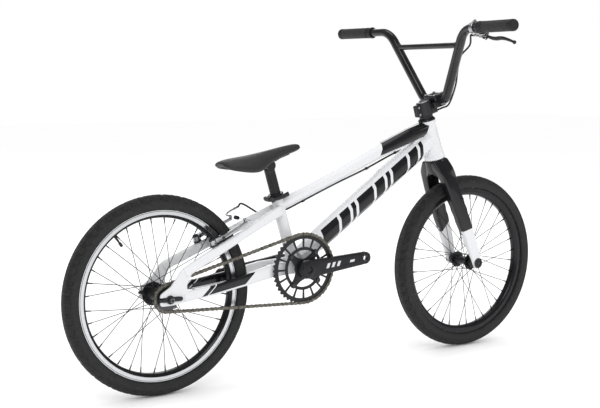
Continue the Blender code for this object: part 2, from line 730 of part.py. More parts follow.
def make_tyre(name, hub, body):
    """An open casing, hooked over the rim's edges."""
    centre = BEAD_RADIUS + TYRE_STAND
    edge = BEAD_RADIUS + RIM_EDGE + WELD_GAP
    profile = []
    for radius, count, way in ((TYRE_SECTION / 2, 9, 1), (TYRE_SECTION / 2 - TYRE_WALL, 5, -1)):
        lowest = math.asin((edge + 0.0015 - centre) / radius)
        points = [(centre + radius * math.sin(a), way * radius * math.cos(a)) for a in
                  [lowest + (math.pi - 2 * lowest) * k / (count - 1) for k in range(count)]]
        profile += [(edge, way * (RIM_WIDTH / 2 - 0.0005 if way == 1 else RIM_WIDTH / 2 - 0.0035))]
        profile += points
        profile += [(edge, -way * (RIM_WIDTH / 2 - 0.0005 if way == 1 else RIM_WIDTH / 2 - 0.0035))]
    piece(name, turned(profile, hub, Y, RIM_STEPS), BLACK_RUBBER, body)


def make_rim(name, hub, body):
    """A channel section, open to the tyre."""
    half = RIM_WIDTH / 2
    top = BEAD_RADIUS + RIM_EDGE
    foot = top - RIM_DEPTH
    well = foot + 0.008
    profile = [(top, half), (top, half - RIM_WALL), (well, half - 0.0055), (well, -half + 0.0055),
               (top, -half + RIM_WALL), (top, -half), (foot + 0.009, -half),
               (foot, -half + 0.0065), (foot, half - 0.0065), (foot + 0.009, half)]
    piece(name, turned(profile, hub, Y, RIM_STEPS), BLACK_ANODISED, body)


def make_spokes(name, hub, flange_radius, flange_offset, body):
    """Laced spokes, held together by the thin band that their nipples sit in."""
    foot = BEAD_RADIUS + RIM_EDGE - RIM_DEPTH
    band_top = foot - WELD_GAP
    band = piece(name, ring(band_top - SPOKE_SEAT, band_top, -0.0055, 0.0055, hub, Y, RIM_STEPS),
                 STEEL, body)
    per_side = SPOKE_COUNT // 2
    lead = math.tau / per_side * SPOKE_CROSSINGS
    for k in range(SPOKE_COUNT):
        side = 1 if k % 2 else -1
        way = 1 if (k // 2) % 2 else -1
        at_rim = math.tau * (k + 0.5) / SPOKE_COUNT
        at_hub = at_rim + way * lead
        out_hub = X * math.cos(at_hub) + Z * math.sin(at_hub)
        out_rim = X * math.cos(at_rim) + Z * math.sin(at_rim)
        stand = side * (flange_offset + way * SPOKE_STAGGER / 2)
        start = hub + out_hub * (flange_radius + 0.0006) + Y * stand
        finish = hub + out_rim * (band_top - 0.75 * SPOKE_SEAT) + Y * side * 0.0025
        join(band, rod_between(start, finish, SPOKE_SIZE / 2, 4))


def make_rear_hub(hub, body):
    bore = REAR_AXLE_DIAMETER / 2 + RUN_GAP
    flange, offset, half = REAR_FLANGE_RADIUS, REAR_FLANGE_OFFSET, FLANGE_THICKNESS / 2
    end = REAR_HUB_SPACING / 2 - 0.0045
    profile = [(bore, -0.0362), (0.018, -0.0362), (0.018, -offset - half), (flange, -offset - half),
               (flange, -offset + half), (0.018, -offset + half), (0.018, offset - half),
               (flange, offset - half), (flange, offset + half), (0.014, offset + half + 0.002),
               (0.012, end), (bore, end)]
    piece("rear_hub", turned(profile, hub), BLACK_ANODISED, body)


def make_front_hub(hub, body):
    bore = FRONT_AXLE_DIAMETER / 2 + RUN_GAP
    flange, offset, half = FRONT_FLANGE_RADIUS, FRONT_FLANGE_OFFSET, FLANGE_THICKNESS / 2
    end = FRONT_HUB_SPACING / 2 - RUN_GAP
    profile = [(bore, -end)]
    for way in (-1, 1):
        side = [(0.0135, end), (flange, offset + half), (flange, offset - half), (0.0125, 0.018)]
        side = side if way == -1 else side[::-1]
        profile += [(r, way * a) for r, a in side]
    profile.append((bore, end))
    piece("front_hub", turned(profile, hub), BLACK_ANODISED, body)


# Fork

# (down from the head tube, forward, side, width, depth) along one leg
FORK_LEG = ((0.0480, 0.001, 0.0380, 0.0280, 0.0400), (0.0900, 0.004, 0.0425, 0.0270, 0.0410),
            (0.1300, 0.009, 0.0450, 0.0250, 0.0400), (0.2000, 0.019, 0.0475, 0.0245, 0.0370),
            (0.2600, 0.0265, 0.0510, 0.0190, 0.0350), (0.3000, 0.0295, 0.0557, 0.0106, 0.0330),
            (0.3240, 0.0302, 0.0557, 0.0106, 0.0270), (0.3345, 0.0302, 0.0557, 0.0096, 0.0160))
# (down from the head tube, half width, half depth) along the crown
FORK_CROWN = ((0.0020, 0.0285, 0.0285), (0.0100, 0.0295, 0.0290), (0.0260, 0.0385, 0.0270),
              (0.0400, 0.0480, 0.0245), (CROWN_DEPTH, 0.0535, 0.0220))


def make_fork(body):
    """Steerer, crown and both legs in one piece, with an arch over the tyre."""
    crown_sections = [superellipse(w, d, 2 + k / 3, 16) for k, (_, w, d) in enumerate(FORK_CROWN)]
    crown_rings = [[on_head(-down, v, u) for u, v in section]
                   for section, (down, _, _) in zip(crown_sections, FORK_CROWN)]
    fork = piece("fork", loft(crown_rings), BLACK_PAINT, body)
    cut(fork, rod(0.030, -0.08, 0.08, on_head(-CROWN_DEPTH - 0.010), HEAD_FORWARD, 20, Y))
    join(fork, rod(STEERER_DIAMETER / 2, -0.012, HEAD_TUBE_LENGTH + STEM_RISE + 0.004, HEAD_FOOT,
                   HEAD_UP, 20))
    for side in (-1, 1):
        leg_rings = [[on_head(-down, forward + v, side * y + u)
                      for u, v in superellipse(w / 2, d / 2, 3, 12)]
                     for down, forward, y, w, d in FORK_LEG]
        join(fork, loft(leg_rings))
    cut(fork, rod(STEERER_DIAMETER / 2 - STEERER_WALL, -0.1, 0.3, HEAD_FOOT, HEAD_UP, 20),
        rod(FRONT_AXLE_DIAMETER / 2 + WELD_GAP, -0.1, 0.1, FRONT_HUB, Y, 20))


def make_front_axle(body):
    """Thru-axle with a round head on each end, outside the legs."""
    radius = FRONT_AXLE_DIAMETER / 2
    half = [(0.0142, FORK_OUTER_FACE), (0.0135, FORK_OUTER_FACE + 0.002), (0, FORK_OUTER_FACE + 0.002)]
    profile = [(r, -a) for r, a in half[::-1]] + [(radius, -FORK_OUTER_FACE),
                                                  (radius, FORK_OUTER_FACE)] + half
    piece("front_axle", turned(profile, FRONT_HUB), BLACK_ANODISED, body)


# Cockpit

def on_bar(height, side, forward=0.0):
    """A point in the bar's own plane, which leans back from the clamp."""
    clamp = on_head(HEAD_TUBE_LENGTH + STEM_RISE, STEM_REACH)
    lean = Vector((-math.sin(BAR_TILT), 0, math.cos(BAR_TILT)))
    return clamp + lean * height + X * forward + Y * side


def grip_line(side):
    """The straight end's axis: its inner end, its tip and the way out."""
    back = -math.tan(BAR_BACKSWEEP)
    root = on_bar(BAR_RISE, side * BAR_GRIP_ROOT)
    tip = on_bar(BAR_RISE, side * BAR_WIDTH / 2, back * (BAR_WIDTH / 2 - BAR_GRIP_ROOT))
    return root, tip, (tip - root).normalized()


def bar_corners(side):
    """The bar's tip and the corners of its centre line on one side."""
    root, tip, outward = grip_line(side)
    return [tip, root - outward * BAR_SHOULDER, on_bar(0, side * BAR_CLAMP_BEND)]


def bar_path():
    corners = bar_corners(1) + bar_corners(-1)[::-1]
    radii = (BAR_TOP_RADIUS, BAR_FOOT_RADIUS, BAR_FOOT_RADIUS, BAR_TOP_RADIUS)
    return fillet_path(corners, radii, 4)


def make_handlebar(body):
    """One bent tube, thicker from bend to bend than in the grips, with a crossbar welded in."""
    path = bar_path()
    radii = []
    for point in path:
        share = min(1.0, max(0.0, (0.19 - abs(point.y)) / 0.05))
        radii.append((BAR_END_DIAMETER + share * (BAR_CLAMP_DIAMETER - BAR_END_DIAMETER)) / 2)
    outside = [superellipse(r, r, 2, 12) for r in radii]
    inside = [superellipse(r - BAR_WALL, r - BAR_WALL, 2, 8) for r in radii]
    bars = piece("handlebar", swept(path, outside, HEAD_FORWARD), BLACK_PAINT, body)
    past = [path[0] + grip_line(1)[2] * CUT_PAST, *path[1:-1], path[-1] + grip_line(-1)[2] * CUT_PAST]
    cut(bars, swept(past, inside, HEAD_FORWARD))
    _, top, foot = bar_corners(1)
    end = foot.lerp(top, CROSSBAR_HEIGHT / BAR_RISE)
    join(bars, rod_between(Vector((end.x, -end.y, end.z)), end, CROSSBAR_DIAMETER / 2, 12))


def make_grips(body):
    """Grips closed at the outer end, with a collar at the inner one."""
    bore = BAR_END_DIAMETER / 2 + WELD_GAP
    outer = GRIP_DIAMETER / 2
    for name, side in (("right", -1), ("left", 1)):
        _, tip, outward = grip_line(side)
        profile = [(bore, -GRIP_LENGTH), (outer + 0.001, -GRIP_LENGTH), (outer + 0.001, -GRIP_LENGTH + 0.012),
                   (outer, -GRIP_LENGTH + 0.012), (outer, -0.010), (outer * 0.9, 0.0), (outer * 0.6, 0.0035),
                   (0, 0.0035), (0, WELD_GAP), (bore, WELD_GAP)]
        piece("grip_" + name, turned(profile, tip, outward, 16), GRIP_RUBBER, body)


def make_stem(body):
    """Steerer clamp and bar cradle in one block, a top plate over the bar, and a top cap."""
    top = HEAD_TUBE_LENGTH
    bore = STEERER_DIAMETER / 2 + WELD_GAP
    spacer_top = HEADSET_COVER_HEIGHT + SPACER_HEIGHT
    cover = [(bore, WELD_GAP), (HEAD_TOP_DIAMETER / 2 + 0.0005, WELD_GAP),
             (HEAD_TOP_DIAMETER / 2 - 0.0005, 0.004), (0.0195, HEADSET_COVER_HEIGHT),
             (0.0185, HEADSET_COVER_HEIGHT), (0.0185, spacer_top), (bore, spacer_top)]
    piece("headset_cover", turned(cover, on_head(top), HEAD_UP), BLACK_ANODISED, body)
    low = top + spacer_top + WELD_GAP
    high = top + STEM_RISE + 0.006
    middle, height = (low + high) / 2, high - low
    bar = top + STEM_RISE
    split = 0.0004
    axes = (HEAD_FORWARD, Y, HEAD_UP)
    stem = piece("stem", rod(0.0205, low, high, HEAD_FOOT, HEAD_UP, 20), BLACK_ANODISED, body)
    cradle_low = bar - 0.018
    join(stem, box(on_head((cradle_low + bar) / 2, STEM_REACH - 0.004),
                   (0.042, STEM_WIDTH, bar - cradle_low - 2 * split), axes),
         box(on_head(middle - 0.004, 0.018), (0.030, 0.034, height - 0.010), axes),
         box(on_head(middle, -0.024), (0.018, 0.016, height - 0.006), axes))
    bar_hole = rod(BAR_CLAMP_DIAMETER / 2 + WELD_GAP, -0.1, 0.1, on_head(bar, STEM_REACH), Y, 24)
    steerer_hole = rod(bore, 0, 0.3, HEAD_FOOT, HEAD_UP, 20)
    cut(stem, bar_hole, steerer_hole, box(on_head(middle, -0.028), (0.030, 0.0016, 0.06), axes))
    plate_top = bar + BAR_CLAMP_DIAMETER / 2 + 0.0045
    top_plate = piece("stem_top_plate", box(on_head((bar + plate_top) / 2, STEM_REACH),
                                            (0.040, STEM_WIDTH, plate_top - bar - 2 * split), axes),
                      BLACK_ANODISED, body)
    cut(top_plate, rod(BAR_CLAMP_DIAMETER / 2 + WELD_GAP, -0.1, 0.1, on_head(bar, STEM_REACH), Y, 24),
        rod(0.0225, 0, 0.3, HEAD_FOOT, HEAD_UP, 20))
    piece("top_cap", rod(0.0172, high + WELD_GAP, high + 0.0045, HEAD_FOOT, HEAD_UP, 20),
          SILVER, body)


# Seat

def make_seatpost(body):
    low, high = SEAT_TUBE_LENGTH - SEATPOST_INSERTION, SEAT_TUBE_LENGTH + SEATPOST_EXPOSED
    radius = SEATPOST_DIAMETER / 2
    post = piece("seatpost", ring(radius - SEATPOST_WALL, radius, low, high - 0.004, BB, SEAT_UP, 20),
                 BLACK_ANODISED, body)
    join(post, rod(SEATPOST_HEAD_RADIUS, -0.013, 0.013, on_seat(high), Y, 24))


def make_seat_clamp(body):
    """Split collar round the seat tube's top, with a cross skewer behind it."""
    bore = SEAT_TUBE_DIAMETER / 2 + WELD_GAP
    outer = bore + 0.0045
    top = SEAT_TUBE_LENGTH + 0.002
    low = top - 0.0135
    axes = (SEAT_FORWARD, Y, SEAT_UP)
    collar = piece("seat_clamp", ring(bore, outer, low, top, BB, SEAT_UP, 20), BLACK_ANODISED, body)
    join(collar, box(on_seat((low + top) / 2, -outer - 0.002), (0.012, 0.022, top - low - 0.001), axes))
    skewer_at = on_seat((low + top) / 2, -outer - 0.003)
    cut(collar, box(on_seat((low + top) / 2, -0.022), (0.030, 0.0016, 0.03), axes),
        rod(0.0028, -0.05, 0.05, skewer_at, Y, 12))
    lip = ring(SEATPOST_DIAMETER / 2 + RUN_GAP, SEAT_TUBE_DIAMETER / 2 + 0.003,
               SEAT_TUBE_LENGTH + WELD_GAP, top, BB, SEAT_UP, 20)
    join(collar, lip)
    profile = [(0, -0.0149), (0.0024, -0.0149), (0.0024, 0.0115), (0.0062, 0.0115), (0.0062, 0.0185),
               (0, 0.0185)]
    piece("clamp_skewer", turned(profile, skewer_at, Y, 16), BLACK_ANODISED, body)


def lever_pivot():
    bore = SEAT_TUBE_DIAMETER / 2 + WELD_GAP
    return on_seat(SEAT_TUBE_LENGTH - 0.005, -bore - 0.0075, -0.0205)


def make_clamp_lever(body):
    """Cam lever that wraps forward along the collar's right side."""
    pivot = lever_pivot()
    offsets = ((-0.004, 0.0), (0.010, -0.0035), (0.024, -0.0050), (0.038, -0.0030), (0.048, 0.0005))
    path = [pivot + SEAT_FORWARD * f + Y * s for f, s in offsets]
    sections = [superellipse(0.0022 + 0.0004 * k, 0.0040 + 0.0006 * k, 2.5, 10) for k in range(5)]
    lever = piece("clamp_lever", swept(path, sections), BLACK_ANODISED, body)
    join(lever, rod(0.0052, -0.0055, 0.0055, pivot, SEAT_UP, 14))


def make_saddle(body):
    """A narrow shell with a raised tail, drooping wings and a cradle for the seatpost's head."""
    pivot = on_seat(SEAT_TUBE_LENGTH + SEATPOST_EXPOSED)
    forward = Vector((math.cos(SADDLE_NOSE_RISE), 0, math.sin(SADDLE_NOSE_RISE)))
    up = Vector((-math.sin(SADDLE_NOSE_RISE), 0, math.cos(SADDLE_NOSE_RISE)))
    half = SADDLE_WIDTH / 2
    # (share of the length from the tail, half width, top, droop of the wing, thickness)
    stations = ((0.000, 0.42, 0.030, 0.006, 0.012), (0.045, 0.70, 0.036, 0.012, 0.017),
                (0.130, 0.88, 0.0375, 0.020, 0.019), (0.300, 1.00, 0.0365, 0.031, 0.019),
                (0.430, 0.88, 0.0365, 0.031, 0.018), (0.560, 0.56, 0.0375, 0.024, 0.018),
                (0.700, 0.37, 0.0390, 0.018, 0.017), (0.850, 0.31, 0.0400, 0.014, 0.016),
                (0.950, 0.26, 0.0385, 0.011, 0.014), (1.000, 0.14, 0.0330, 0.006, 0.009))
    rings = []
    for share, width, top, droop, thickness in stations:
        centre = pivot + forward * (share - 0.585) * SADDLE_LENGTH + up * top
        ring_points = []
        for k in range(14):
            angle = math.tau * k / 14
            u = math.cos(angle) * half * width
            drop = droop * (u / (half * width)) ** 2
            lift = thickness / 2 * math.sin(angle)
            ring_points.append(centre + Y * u + up * (lift - thickness / 2 - drop))
        rings.append(ring_points)
    saddle = piece("saddle", loft(rings), BLACK_PLASTIC, body)
    cradle = box(pivot + up * 0.0120, (0.042, 0.028, 0.020), (forward, Y, up))
    join(saddle, cradle)
    gap = SEATPOST_HEAD_RADIUS + RUN_GAP + 0.0003
    cut(saddle, rod(gap, -0.05, 0.05, pivot, Y, 28), box(pivot - up * 0.016, (0.06, 0.06, 0.032),
                                                         (forward, Y, up)))


# Rim brake

def stay_direction():
    a, b = SEATSTAY[1], SEATSTAY[2]
    return Vector((b[0] - a[0], 0, b[1] - a[1])).normalized()


STAY_UP = stay_direction()
POST_OUT = Vector((-STAY_UP.z, 0, STAY_UP.x))
PAD_SPOT = 0.030           # pad centre above the post, along the arm
CABLE_LIFT = 0.0085        # wire above the arms' middle plane


def post_foot(side):
    """On the seatstay's centre line, below the brake post."""
    return forward_of_hub(0.136, 0.3465, side * BRAKE_POST_SPREAD / 2)


def brake_post(side):
    return rod(0.0050, 0, BRAKE_POST_HEIGHT + 0.004, post_foot(side), POST_OUT, 14, STAY_UP)


def arm_pivot(side):
    return post_foot(side) + POST_OUT * BRAKE_POST_HEIGHT


def make_brake_arm(name, side, body):
    """Arm on the frame's post, with a lug for the pad and a flat top for the cable."""
    pivot = arm_pivot(side)
    low = -0.007
    hub = rod(0.0095, low, 0.0075, pivot, POST_OUT, 18, STAY_UP)
    arm = piece("brake_arm_" + name, hub, SILVER, body)
    top = pivot + STAY_UP * BRAKE_ARM_LENGTH - Y * side * 0.004
    path = [pivot + STAY_UP * 0.004, pivot + STAY_UP * 0.035 + Y * side * 0.006,
            pivot + STAY_UP * 0.070 + Y * side * 0.003, top]
    sections = [superellipse(0.0060, 0.0052, 3, 10), superellipse(0.0052, 0.0045, 3, 10),
                superellipse(0.0042, 0.0040, 3, 10), superellipse(0.0045, 0.0036, 3, 10)]
    join(arm, swept(path, sections))
    cut(arm, rod(0.0050 + RUN_GAP, -0.02, 0.0046, pivot, POST_OUT, 14, STAY_UP))


def make_brake_pad(name, side, body):
    """A pad curved like the rim's braking face, on a stud that reaches its arm."""
    spot = arm_pivot(side) + STAY_UP * PAD_SPOT - REAR_HUB
    middle = math.degrees(math.atan2(spot.z, spot.x))
    half = math.degrees(PAD_LENGTH / 2 / PAD_RADIUS)
    hub = (REAR_HUB.x, REAR_HUB.z)
    outline = (arc(hub, PAD_RADIUS + PAD_HEIGHT / 2, middle - half, middle + half, 6)
               + arc(hub, PAD_RADIUS - PAD_HEIGHT / 2, middle + half, middle - half, 6))
    near = RIM_WIDTH / 2 + PAD_GAP
    far = near + PAD_THICKNESS
    low, high = sorted((side * near, side * far))
    pad = piece("brake_pad_" + name, plate(outline, [], low, high), BLACK_RUBBER, body)
    at_stud = Vector((spot.x, 0, spot.z)).normalized() * PAD_RADIUS + REAR_HUB
    join(pad, rod(0.0030, far - 0.003, BRAKE_POST_SPREAD / 2 - 0.0018, at_stud, Y * side, 12))


def make_brake_wire(right_body, left_body):
    """Noodle and boot on the left arm; the bare wire, clamped to the right arm, slides in."""
    right = arm_pivot(-1) + STAY_UP * BRAKE_ARM_LENGTH + Y * 0.004
    left = arm_pivot(1) + STAY_UP * BRAKE_ARM_LENGTH - Y * 0.004
    lift = POST_OUT * CABLE_LIFT
    start = left + lift
    noodle = [start - Y * 0.012, start + Y * 0.006, start + Y * 0.022 + STAY_UP * 0.004,
              start + Y * 0.031 + STAY_UP * 0.020, start + Y * 0.031 + STAY_UP * 0.040]
    path = smooth_path(noodle, 4)
    piece("brake_noodle", swept(path, superellipse(0.0026, 0.0026, 2, 10), STAY_UP), SILVER, left_body)
    boot_low, boot_high = 0.030, 0.046
    profile = [(BOOT_BORE, 0), (0.0036, 0), (0.0052, boot_high - boot_low),
               (BOOT_BORE, boot_high - boot_low)]
    boot_start = Vector((start.x, start.y - boot_high, start.z))
    piece("brake_boot", turned(profile, boot_start, Y, 12), BLACK_RUBBER, left_body)
    wire_start = right + lift
    wire_end = boot_start + Y * 0.005
    wire = piece("brake_wire", rod_between(wire_start - Y * 0.006, wire_end, 0.0008, 8), STEEL, right_body)
    join(wire, rod(0.0036, -0.0044, 0.0022, wire_start, POST_OUT, 12, STAY_UP))


def noodle_end():
    left = arm_pivot(1) + STAY_UP * BRAKE_ARM_LENGTH - Y * 0.004 + POST_OUT * CABLE_LIFT
    return left + Y * 0.031 + STAY_UP * 0.040


# Brake lever and cable

LEVER_DIRECTION = Vector((1, 0, -1)).normalized()
PERCH_SIDE = 0.206         # clamp ring from the centre plane
LEVER_PIVOT_DROP = 0.030
LEVER_PIVOT_SIDE = 0.228


def grip_axis(y):
    """A point of the right grip's axis, y out from the centre plane."""
    root, tip, _ = grip_line(-1)
    return root.lerp(tip, (y - BAR_GRIP_ROOT) / (BAR_WIDTH / 2 - BAR_GRIP_ROOT))


def lever_axis_point():
    return grip_axis(LEVER_PIVOT_SIDE) + LEVER_DIRECTION * LEVER_PIVOT_DROP


def make_lever_perch(body):
    outward = grip_line(-1)[2]
    centre = grip_axis(PERCH_SIDE)
    perch = piece("brake_lever_perch", ring(BAR_END_DIAMETER / 2 + WELD_GAP + 0.0006, 0.0165, -0.0065,
                                            0.0065, centre, outward, 20), SILVER, body)
    across = outward.cross(LEVER_DIRECTION)
    pivot = lever_axis_point()
    join(perch, box(centre + LEVER_DIRECTION * 0.0235 + outward * 0.004, (0.022, 0.018, 0.017),
                    (outward, across, LEVER_DIRECTION)),
         rod(0.0085, -0.0083, 0.0083, pivot, across, 16, outward),
         box((centre + pivot) / 2 + LEVER_DIRECTION * 0.012 + outward * 0.001, (0.018, 0.0152, 0.014),
             (outward, across, LEVER_DIRECTION)),
         rod(0.0036, 0, 0.020, barrel_end(), outward, 12))
    cut(perch, rod(0.0095, -0.0046, 0.0046, pivot, across, 16, outward),
        box(pivot + LEVER_DIRECTION * 0.003 + outward * 0.012, (0.030, 0.0096, 0.020),
            (outward, across, LEVER_DIRECTION)))


def barrel_end():
    outward = grip_line(-1)[2]
    return grip_axis(PERCH_SIDE) + LEVER_DIRECTION * 0.0265 - outward * 0.026


def make_lever_blade(body):
    outward = grip_line(-1)[2]
    pivot = lever_axis_point()
    offsets = ((-0.003, 0.0), (0.008, 0.004), (0.020, 0.010), (0.036, 0.0115), (0.056, 0.0105),
               (0.078, 0.017), (0.092, 0.024), (0.099, 0.0285))
    path = [pivot + outward * a + LEVER_DIRECTION * b for a, b in offsets]
    widths = (0.0036, 0.0042, 0.0048, 0.0056, 0.0060, 0.0060, 0.0055, 0.0050)
    across = outward.cross(LEVER_DIRECTION)
    sections = [superellipse(w, 0.0034 + 0.0006 * (k > 5), 2.6, 10) for k, w in enumerate(widths)]
    blade = piece("brake_lever_blade", swept(path, sections, across), BLACK_ANODISED, body)
    join(blade, rod(0.0072, -0.0040, 0.0040, pivot, across, 16, outward))


def cable_mesh(name, points, look, body):
    """A housing as a bevelled curve through the route's own points."""
    curve = bpy.data.curves.new(name, "CURVE")
    curve.dimensions = "3D"
    curve.bevel_depth = CABLE_DIAMETER / 2
    curve.bevel_resolution = 2
    curve.use_fill_caps = True
    path = smooth_path(points, 3)
    spline = curve.splines.new("POLY")
    spline.points.add(len(path) - 1)
    for point, place in zip(spline.points, path):
        point.co = (*(place - body.location), 1)
    obj = bpy.data.objects.new(name, curve)
    obj.data.materials.append(make_material(name + "_finish", look))
    bpy.context.scene.collection.objects.link(obj)
    obj.parent = body


def make_cables(steering, frame):
    """Housing from the lever to the head tube, and on from there to the noodle."""
    outward = grip_line(-1)[2]
    start = barrel_end() - outward * CABLE_GAP
    meet = on_head(HEAD_TUBE_LENGTH - 0.004, 0.021, 0.022)
    front = [start, start - outward * 0.006, start - outward * 0.014, on_bar(0.150, -0.148, 0.024),
             on_bar(0.120, -0.106, 0.022), on_bar(0.080, -0.086, 0.022), on_bar(0.040, -0.069, 0.022),
             on_head(HEAD_TUBE_LENGTH + 0.033, 0.052, -0.044),
             on_head(HEAD_TUBE_LENGTH + 0.022, 0.048, -0.016),
             on_head(HEAD_TUBE_LENGTH + 0.014, 0.037, 0.010),
             meet + HEAD_UP * 0.008, meet + HEAD_UP * 0.003, meet]
    cable_mesh("brake_cable_front", front, BLACK_PLASTIC, steering)
    meet -= HEAD_UP * CABLE_GAP
    finish = noodle_end() + STAY_UP * NOODLE_GAP
    rear = [meet, meet - HEAD_UP * 0.004, meet - HEAD_UP * 0.010, on_head(0.070, 0.014, 0.0290),
            on_head(0.050, -0.008, 0.0345), forward_of_hub(0.740, 0.560, 0.0345),
            forward_of_hub(0.640, 0.521, 0.0315), forward_of_hub(0.530, 0.484, 0.0260),
            forward_of_hub(0.430, 0.446, 0.0245), forward_of_hub(0.370, 0.424, 0.0245),
            forward_of_hub(0.325, 0.412, 0.0400), finish + STAY_UP * 0.020,
            finish + STAY_UP * 0.006, finish]
    cable_mesh("brake_cable_rear", rear, BLACK_PLASTIC, frame)


# The whole bike

def main():
    for obj in list(bpy.data.objects):
        bpy.data.objects.remove(obj)
    frame = make_body("frame_origin", Vector())
    steering = make_body("steering_axis", HEAD_FOOT)
    crank = make_body("crank_axis", BB)
    rear_wheel = make_body("rear_wheel_axis", REAR_HUB)
    driver = make_body("driver_axis", REAR_HUB)
    front_wheel = make_body("front_wheel_axis", FRONT_HUB)
    post = make_body("seatpost_axis", on_seat(SEAT_TUBE_LENGTH))
    saddle = make_body("saddle_pivot", on_seat(SEAT_TUBE_LENGTH + SEATPOST_EXPOSED))
    clamp_lever = make_body("clamp_lever_pivot", lever_pivot())
    lever = make_body("brake_lever_pivot", lever_axis_point())
    right_arm = make_body("right_brake_pivot", arm_pivot(-1))
    left_arm = make_body("left_brake_pivot", arm_pivot(1))

    make_head_tube(frame)
    make_main_tubes(frame)
    make_rear_triangle(frame)
    make_bottom_bracket(frame)
    make_headset(frame)
    make_rear_axle(frame)
    make_chain(frame)
    make_seat_clamp(frame)

    make_chainring(crank)
    make_crank_arms(crank)
    make_spindle(crank)
    make_cog(driver)

    make_tyre("rear_tyre", REAR_HUB, rear_wheel)
    make_rim("rear_rim", REAR_HUB, rear_wheel)
    make_spokes("rear_spokes", REAR_HUB, REAR_FLANGE_RADIUS, REAR_FLANGE_OFFSET, rear_wheel)
    make_rear_hub(REAR_HUB, rear_wheel)
    make_tyre("front_tyre", FRONT_HUB, front_wheel)
    make_rim("front_rim", FRONT_HUB, front_wheel)
    make_spokes("front_spokes", FRONT_HUB, FRONT_FLANGE_RADIUS, FRONT_FLANGE_OFFSET, front_wheel)
    make_front_hub(FRONT_HUB, front_wheel)

    make_fork(steering)
    make_front_axle(steering)
    make_handlebar(steering)
    make_grips(steering)
    make_stem(steering)
    make_lever_perch(steering)
    make_lever_blade(lever)

    make_seatpost(post)
    make_saddle(saddle)
    make_clamp_lever(clamp_lever)

    for name, side, body in (("right", -1, right_arm), ("left", 1, left_arm)):
        make_brake_arm(name, side, body)
        make_brake_pad(name, side, body)
    make_brake_wire(right_arm, left_arm)
    make_cables(steering, frame)


main()
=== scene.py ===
import json
import math

import bmesh
import bpy
from mathutils import Matrix, Vector

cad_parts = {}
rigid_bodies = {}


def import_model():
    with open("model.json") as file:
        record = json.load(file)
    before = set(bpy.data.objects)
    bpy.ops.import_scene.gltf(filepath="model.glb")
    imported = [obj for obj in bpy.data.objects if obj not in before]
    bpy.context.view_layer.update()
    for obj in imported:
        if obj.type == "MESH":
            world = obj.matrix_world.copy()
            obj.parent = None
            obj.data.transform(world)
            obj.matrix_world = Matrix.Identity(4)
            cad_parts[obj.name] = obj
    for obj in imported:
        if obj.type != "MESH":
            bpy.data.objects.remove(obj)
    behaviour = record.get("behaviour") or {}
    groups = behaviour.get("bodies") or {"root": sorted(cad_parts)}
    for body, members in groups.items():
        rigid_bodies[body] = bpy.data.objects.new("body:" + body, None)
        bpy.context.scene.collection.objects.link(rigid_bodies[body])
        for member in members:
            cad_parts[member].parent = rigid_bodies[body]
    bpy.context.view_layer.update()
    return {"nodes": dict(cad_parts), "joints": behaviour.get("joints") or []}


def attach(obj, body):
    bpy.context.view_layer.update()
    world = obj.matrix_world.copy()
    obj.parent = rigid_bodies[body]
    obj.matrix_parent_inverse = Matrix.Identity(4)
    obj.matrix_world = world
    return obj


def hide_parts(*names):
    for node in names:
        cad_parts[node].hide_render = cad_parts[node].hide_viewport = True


for leftover in list(bpy.data.objects):
    bpy.data.objects.remove(leftover)

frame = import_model()
print("frame loaded:", len(frame["nodes"]), "nodes")

axisX, axisY, axisZ = Vector((1, 0, 0)), Vector((0, 1, 0)), Vector((0, 0, 1))
bothSides = (("right", -1), ("left", 1))

# where each joint turns or slides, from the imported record
pivots = {joint["name"]: Vector(joint["pos_m"]) for joint in frame["joints"] if "pos_m" in joint}
turns = {joint["name"]: Vector(joint["axis"]) for joint in frame["joints"] if "axis" in joint}

rearHub = pivots["rear_wheel_spin"]
frontHub = pivots["front_wheel_spin"]
bottomBracket = pivots["crank_spin"]
headFoot = pivots["steering_turn"]
headUp = turns["steering_turn"].normalized()
headForward = Vector((headUp.z, 0, -headUp.x))
seatUp = turns["seatpost_slide"].normalized()
seatForward = Vector((seatUp.z, 0, -seatUp.x))
saddlePivot = pivots["saddle_tilt"]


def fromHub(x, z, y=0.0):
    return Vector((rearHub.x + x, y, z))


def onHead(up, forward=0.0, side=0.0):
    return headFoot + headUp * up + headForward * forward + axisY * side


def onSeat(up, forward=0.0, side=0.0):
    return bottomBracket + seatUp * up + seatForward * forward + axisY * side


# modelling steps that every piece below uses

mergeGap = 0.00002


def deselectAll():
    for thing in list(bpy.context.selected_objects):
        thing.select_set(False)


def grab(piece):
    deselectAll()
    piece.select_set(True)
    bpy.context.view_layer.objects.active = piece


def editPiece(piece):
    grab(piece)
    bpy.ops.object.mode_set(mode="EDIT")


def leaveEdit():
    bpy.ops.object.mode_set(mode="OBJECT")


def turnOutward():
    # every face's normal is made to point outwards, and the piece is left
    bpy.ops.mesh.select_all(action="SELECT")
    bpy.ops.mesh.normals_make_consistent(inside=False)
    leaveEdit()


def merged():
    bpy.ops.mesh.select_all(action="SELECT")
    bpy.ops.mesh.remove_doubles(threshold=mergeGap)


def named(name):
    piece = bpy.context.object
    piece.name = name
    piece.data.name = name
    bpy.ops.object.transform_apply(location=True, rotation=True, scale=True)
    return piece


def pickPoints(piece, wanted):
    # selects the points that wanted(place, index) accepts
    bpy.ops.mesh.select_mode(type="VERT")
    bpy.ops.mesh.select_all(action="DESELECT")
    mesh = bmesh.from_edit_mesh(piece.data)
    for point in mesh.verts:
        if wanted(point.co, point.index):
            point.select = True
    mesh.select_flush(True)
    bmesh.update_edit_mesh(piece.data)


